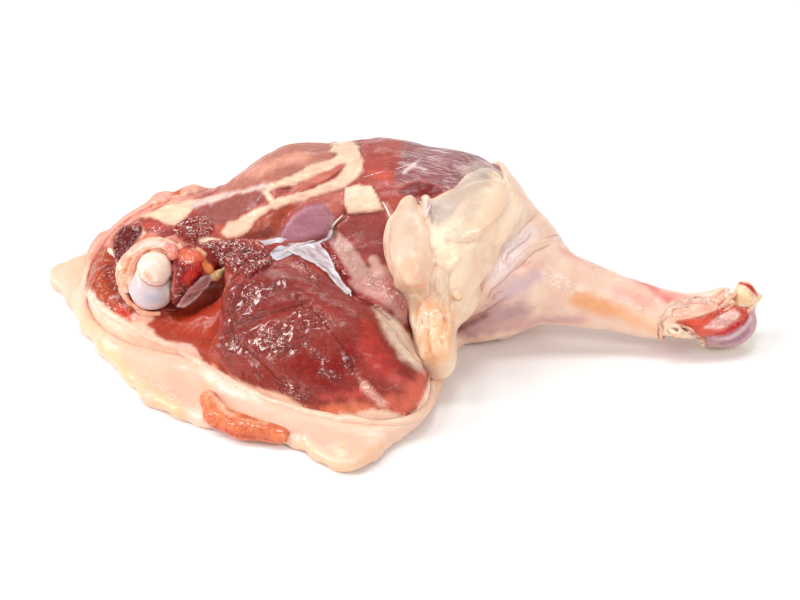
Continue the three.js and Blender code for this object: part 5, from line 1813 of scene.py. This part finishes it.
allowed = knee.marked(0.0, {
    "loose": (0.7, 1.5, [(438, 292, 1.2), (436, 310, 2.0), (430, 330, 2.0), (430, 346, 2.0)]),
    "ridge": (1.0, 0.8, [(450, 232, 0.5), (464, 238, 0.7), (480, 234, 0.4)]),
    "lower ridge": (1.0, 0.8, [(438, 264, 0.4), (449, 268, 0.5), (457, 261, 0.3)]),
})
balls = strewn("globule_balls", knee, allowed, fatty, 2.6, 0.4, 0.8, 7)
LARGE_GLOBULES = {
    "round": (0.4, [(456.5, 293.5, 1.2), (457.5, 294.5, 1.2)]),
    "oval": (-0.3, [(438, 269, 0.9), (440, 279, 1.3), (440, 289, 1.0)]),
    "small": (0.0, [(421, 292, 0.7), (423, 298, 0.9)]),
    "curl": (0.0, [(432, 311, 0.5), (438, 312, 0.8), (441, 318, 0.6)]),
    "low left": (-0.3, [(420, 321, 0.8), (419, 336, 1.2), (421, 352, 0.9)]),
    "low middle": (-0.3, [(432, 322, 0.7), (433, 335, 1.1), (436, 350, 0.8)]),
    "low right": (-0.4, [(447, 306, 0.7), (449, 320, 1.0), (446, 338, 0.8)]),
}
large = balls_along("large_balls", strand_rows([knee], LARGE_GLOBULES), fatty, spacing=0.3)
globules = Tissue("globules", joined("globule_balls", balls, large), 0.25, levels=0, rounds=8)
globules.shift(0.15 * noise(globules.places, 1.6, 43, 2))
globules_colours = srgb(250, 208, 172) * (1 + 0.1 * globules.ragged[:, None])
globules.finish(fatty, "fat", colours=globules_colours, wet=0.15, crumbly=0.2)

# %% [markdown]
# ## The cut hock
# The skin ends in a rolled edge. Below it hang cream, scaly shreds of the peeled sheath, and a
# pale tendon runs across the red flesh to the knob.

# %% The hock
hock = strands("hock_shreds", 0.25, [skin, meat, shin], {
    "rolled edge": (-0.1, [
        (675, 321, 0.4), (666, 323, 0.5), (661, 330, 0.5), (661, 338, 0.4), (666, 343, 0.4),
    ]),
    "membrane edge": (0.0, [(664, 325, 0.4), (668, 333, 0.5), (675, 341, 0.5)]),
    "sheath, top": (0.4, [(671, 325, 0.7), (682, 327, 0.9), (692, 332, 0.9), (704, 340, 0.6)]),
    "sheath, middle": (0.5, [(670, 329, 0.8), (680, 332, 1.0), (691, 338, 1.0), (704, 343, 0.6)]),
    "sheath, low": (0.4, [(674, 335, 0.6), (684, 339, 0.9), (696, 343, 0.8)]),
    "band": (-0.4, [(664, 343, 0.9), (678, 344, 1.1), (694, 346, 1.0), (708, 346, 0.7)]),
    "tendon": (0.0, [(690, 318, 0.4), (704, 314, 0.6), (720, 308, 0.6), (733, 302, 0.5)]),
    "second tendon": (-0.2, [(712, 318, 0.25), (722, 312, 0.35), (733, 306, 0.35)]),
    "wrinkle one": (-0.2, [(714, 305, 0.5), (722, 298, 0.8), (731, 289, 0.6)]),
    "wrinkle two": (-0.2, [(720, 308, 0.5), (728, 300, 0.8), (735, 292, 0.6)]),
    "wrinkle three": (-0.3, [(710, 298, 0.6), (721, 292, 0.8), (733, 284, 0.6)]),
    "wrinkle four": (-0.3, [(706, 306, 0.5), (714, 299, 0.8), (724, 293, 0.6)]),
}, 5)
hock_lumps = noise(hock.places, 1.2, 95, 2)
hock.shift(0.15 * hock_lumps + hock.relief({
    "slot one": (-0.3, 0.5, [(671, 328, 0.2), (677, 330, 0.3)]),
    "slot two": (-0.3, 0.5, [(682, 328, 0.2), (687, 331, 0.3)]),
    "slot three": (-0.3, 0.5, [(690, 334, 0.2), (694, 336, 0.3)]),
    "slot four": (-0.3, 0.5, [(696, 338, 0.2), (699, 340, 0.3)]),
}))
hock_ground = mottled((245, 188, 160), 0.6 * hock_lumps, (252, 212, 188), (224, 150, 122))
hock_colours = hock.washed(hock_ground, {
    "sheath": ((244, 226, 194), 1.0, 0.4, [(672, 328, 1.0), (684, 334, 1.6), (700, 342, 1.0)]),
    "sheath, low": ((226, 216, 186), 0.8, 0.4, [(680, 339, 0.5), (694, 342, 0.6)]),
    # painted shade: the slots between the scales of the sheath are painted dark
    "slot one": ((168, 70, 44), 0.3, 0.1, [(671, 328, 0.3), (677, 330, 0.45)]),
    "slot two": ((96, 50, 38), 0.3, 0.1, [(682, 328, 0.35), (687, 331, 0.45)]),
    "slot three": ((88, 42, 34), 0.3, 0.1, [(690, 334, 0.3), (694, 336, 0.4)]),
    "slot four": ((62, 32, 30), 0.3, 0.1, [(696, 338, 0.3), (699, 340, 0.45)]),
    "membrane edge": ((206, 140, 96), 0.5, 0.2, [(664, 325, 0.2), (668, 333, 0.3), (675, 341, 0.3)]),
    "rolled edge": ((244, 186, 156), 0.7, 0.2, [(675, 321, 0.3), (666, 323, 0.4), (659, 332, 0.4)]),
    "tendon": ((238, 148, 122), 0.9, 0.3, [(690, 318, 0.4), (714, 316, 0.4), (733, 305, 0.4)]),
})
hock.engrave({
    "sheath, edge": (0.9, [(676, 323), (686, 328), (696, 335), (704, 341), (712, 346)]),
    "membrane": (0.8, [(665, 326), (669, 333), (676, 341), (690, 345)]),
    "tendons": (0.8, [(690, 320), (704, 316), (718, 311), (732, 304)]),
    "wrinkles": (0.6, [(716, 309), (724, 301), (731, 293), (736, 287)]),
    "more wrinkles": (0.5, [(708, 303), (716, 297), (724, 291), (731, 284)]),
})
hock.finish(fatty, "skin", colours=hock_colours, wet=0.1, crumbly=0.4)

# %% [markdown]
# ## Pores
# The plucked skin has a dot wherever a feather sat. The same strewing as for the globules sets tiny
# balls on the outside of the skin, away from the table.

# %% Pores
allowed = outside * smoothstep((skin.places[:, 2] - 1.5) / 2)
dots = strewn("pore_balls", skin, 0.6 * allowed, hide, 2.0, 0.1, 0.24, 9)
dots.shade_smooth()
rides(placed("pores", dots))
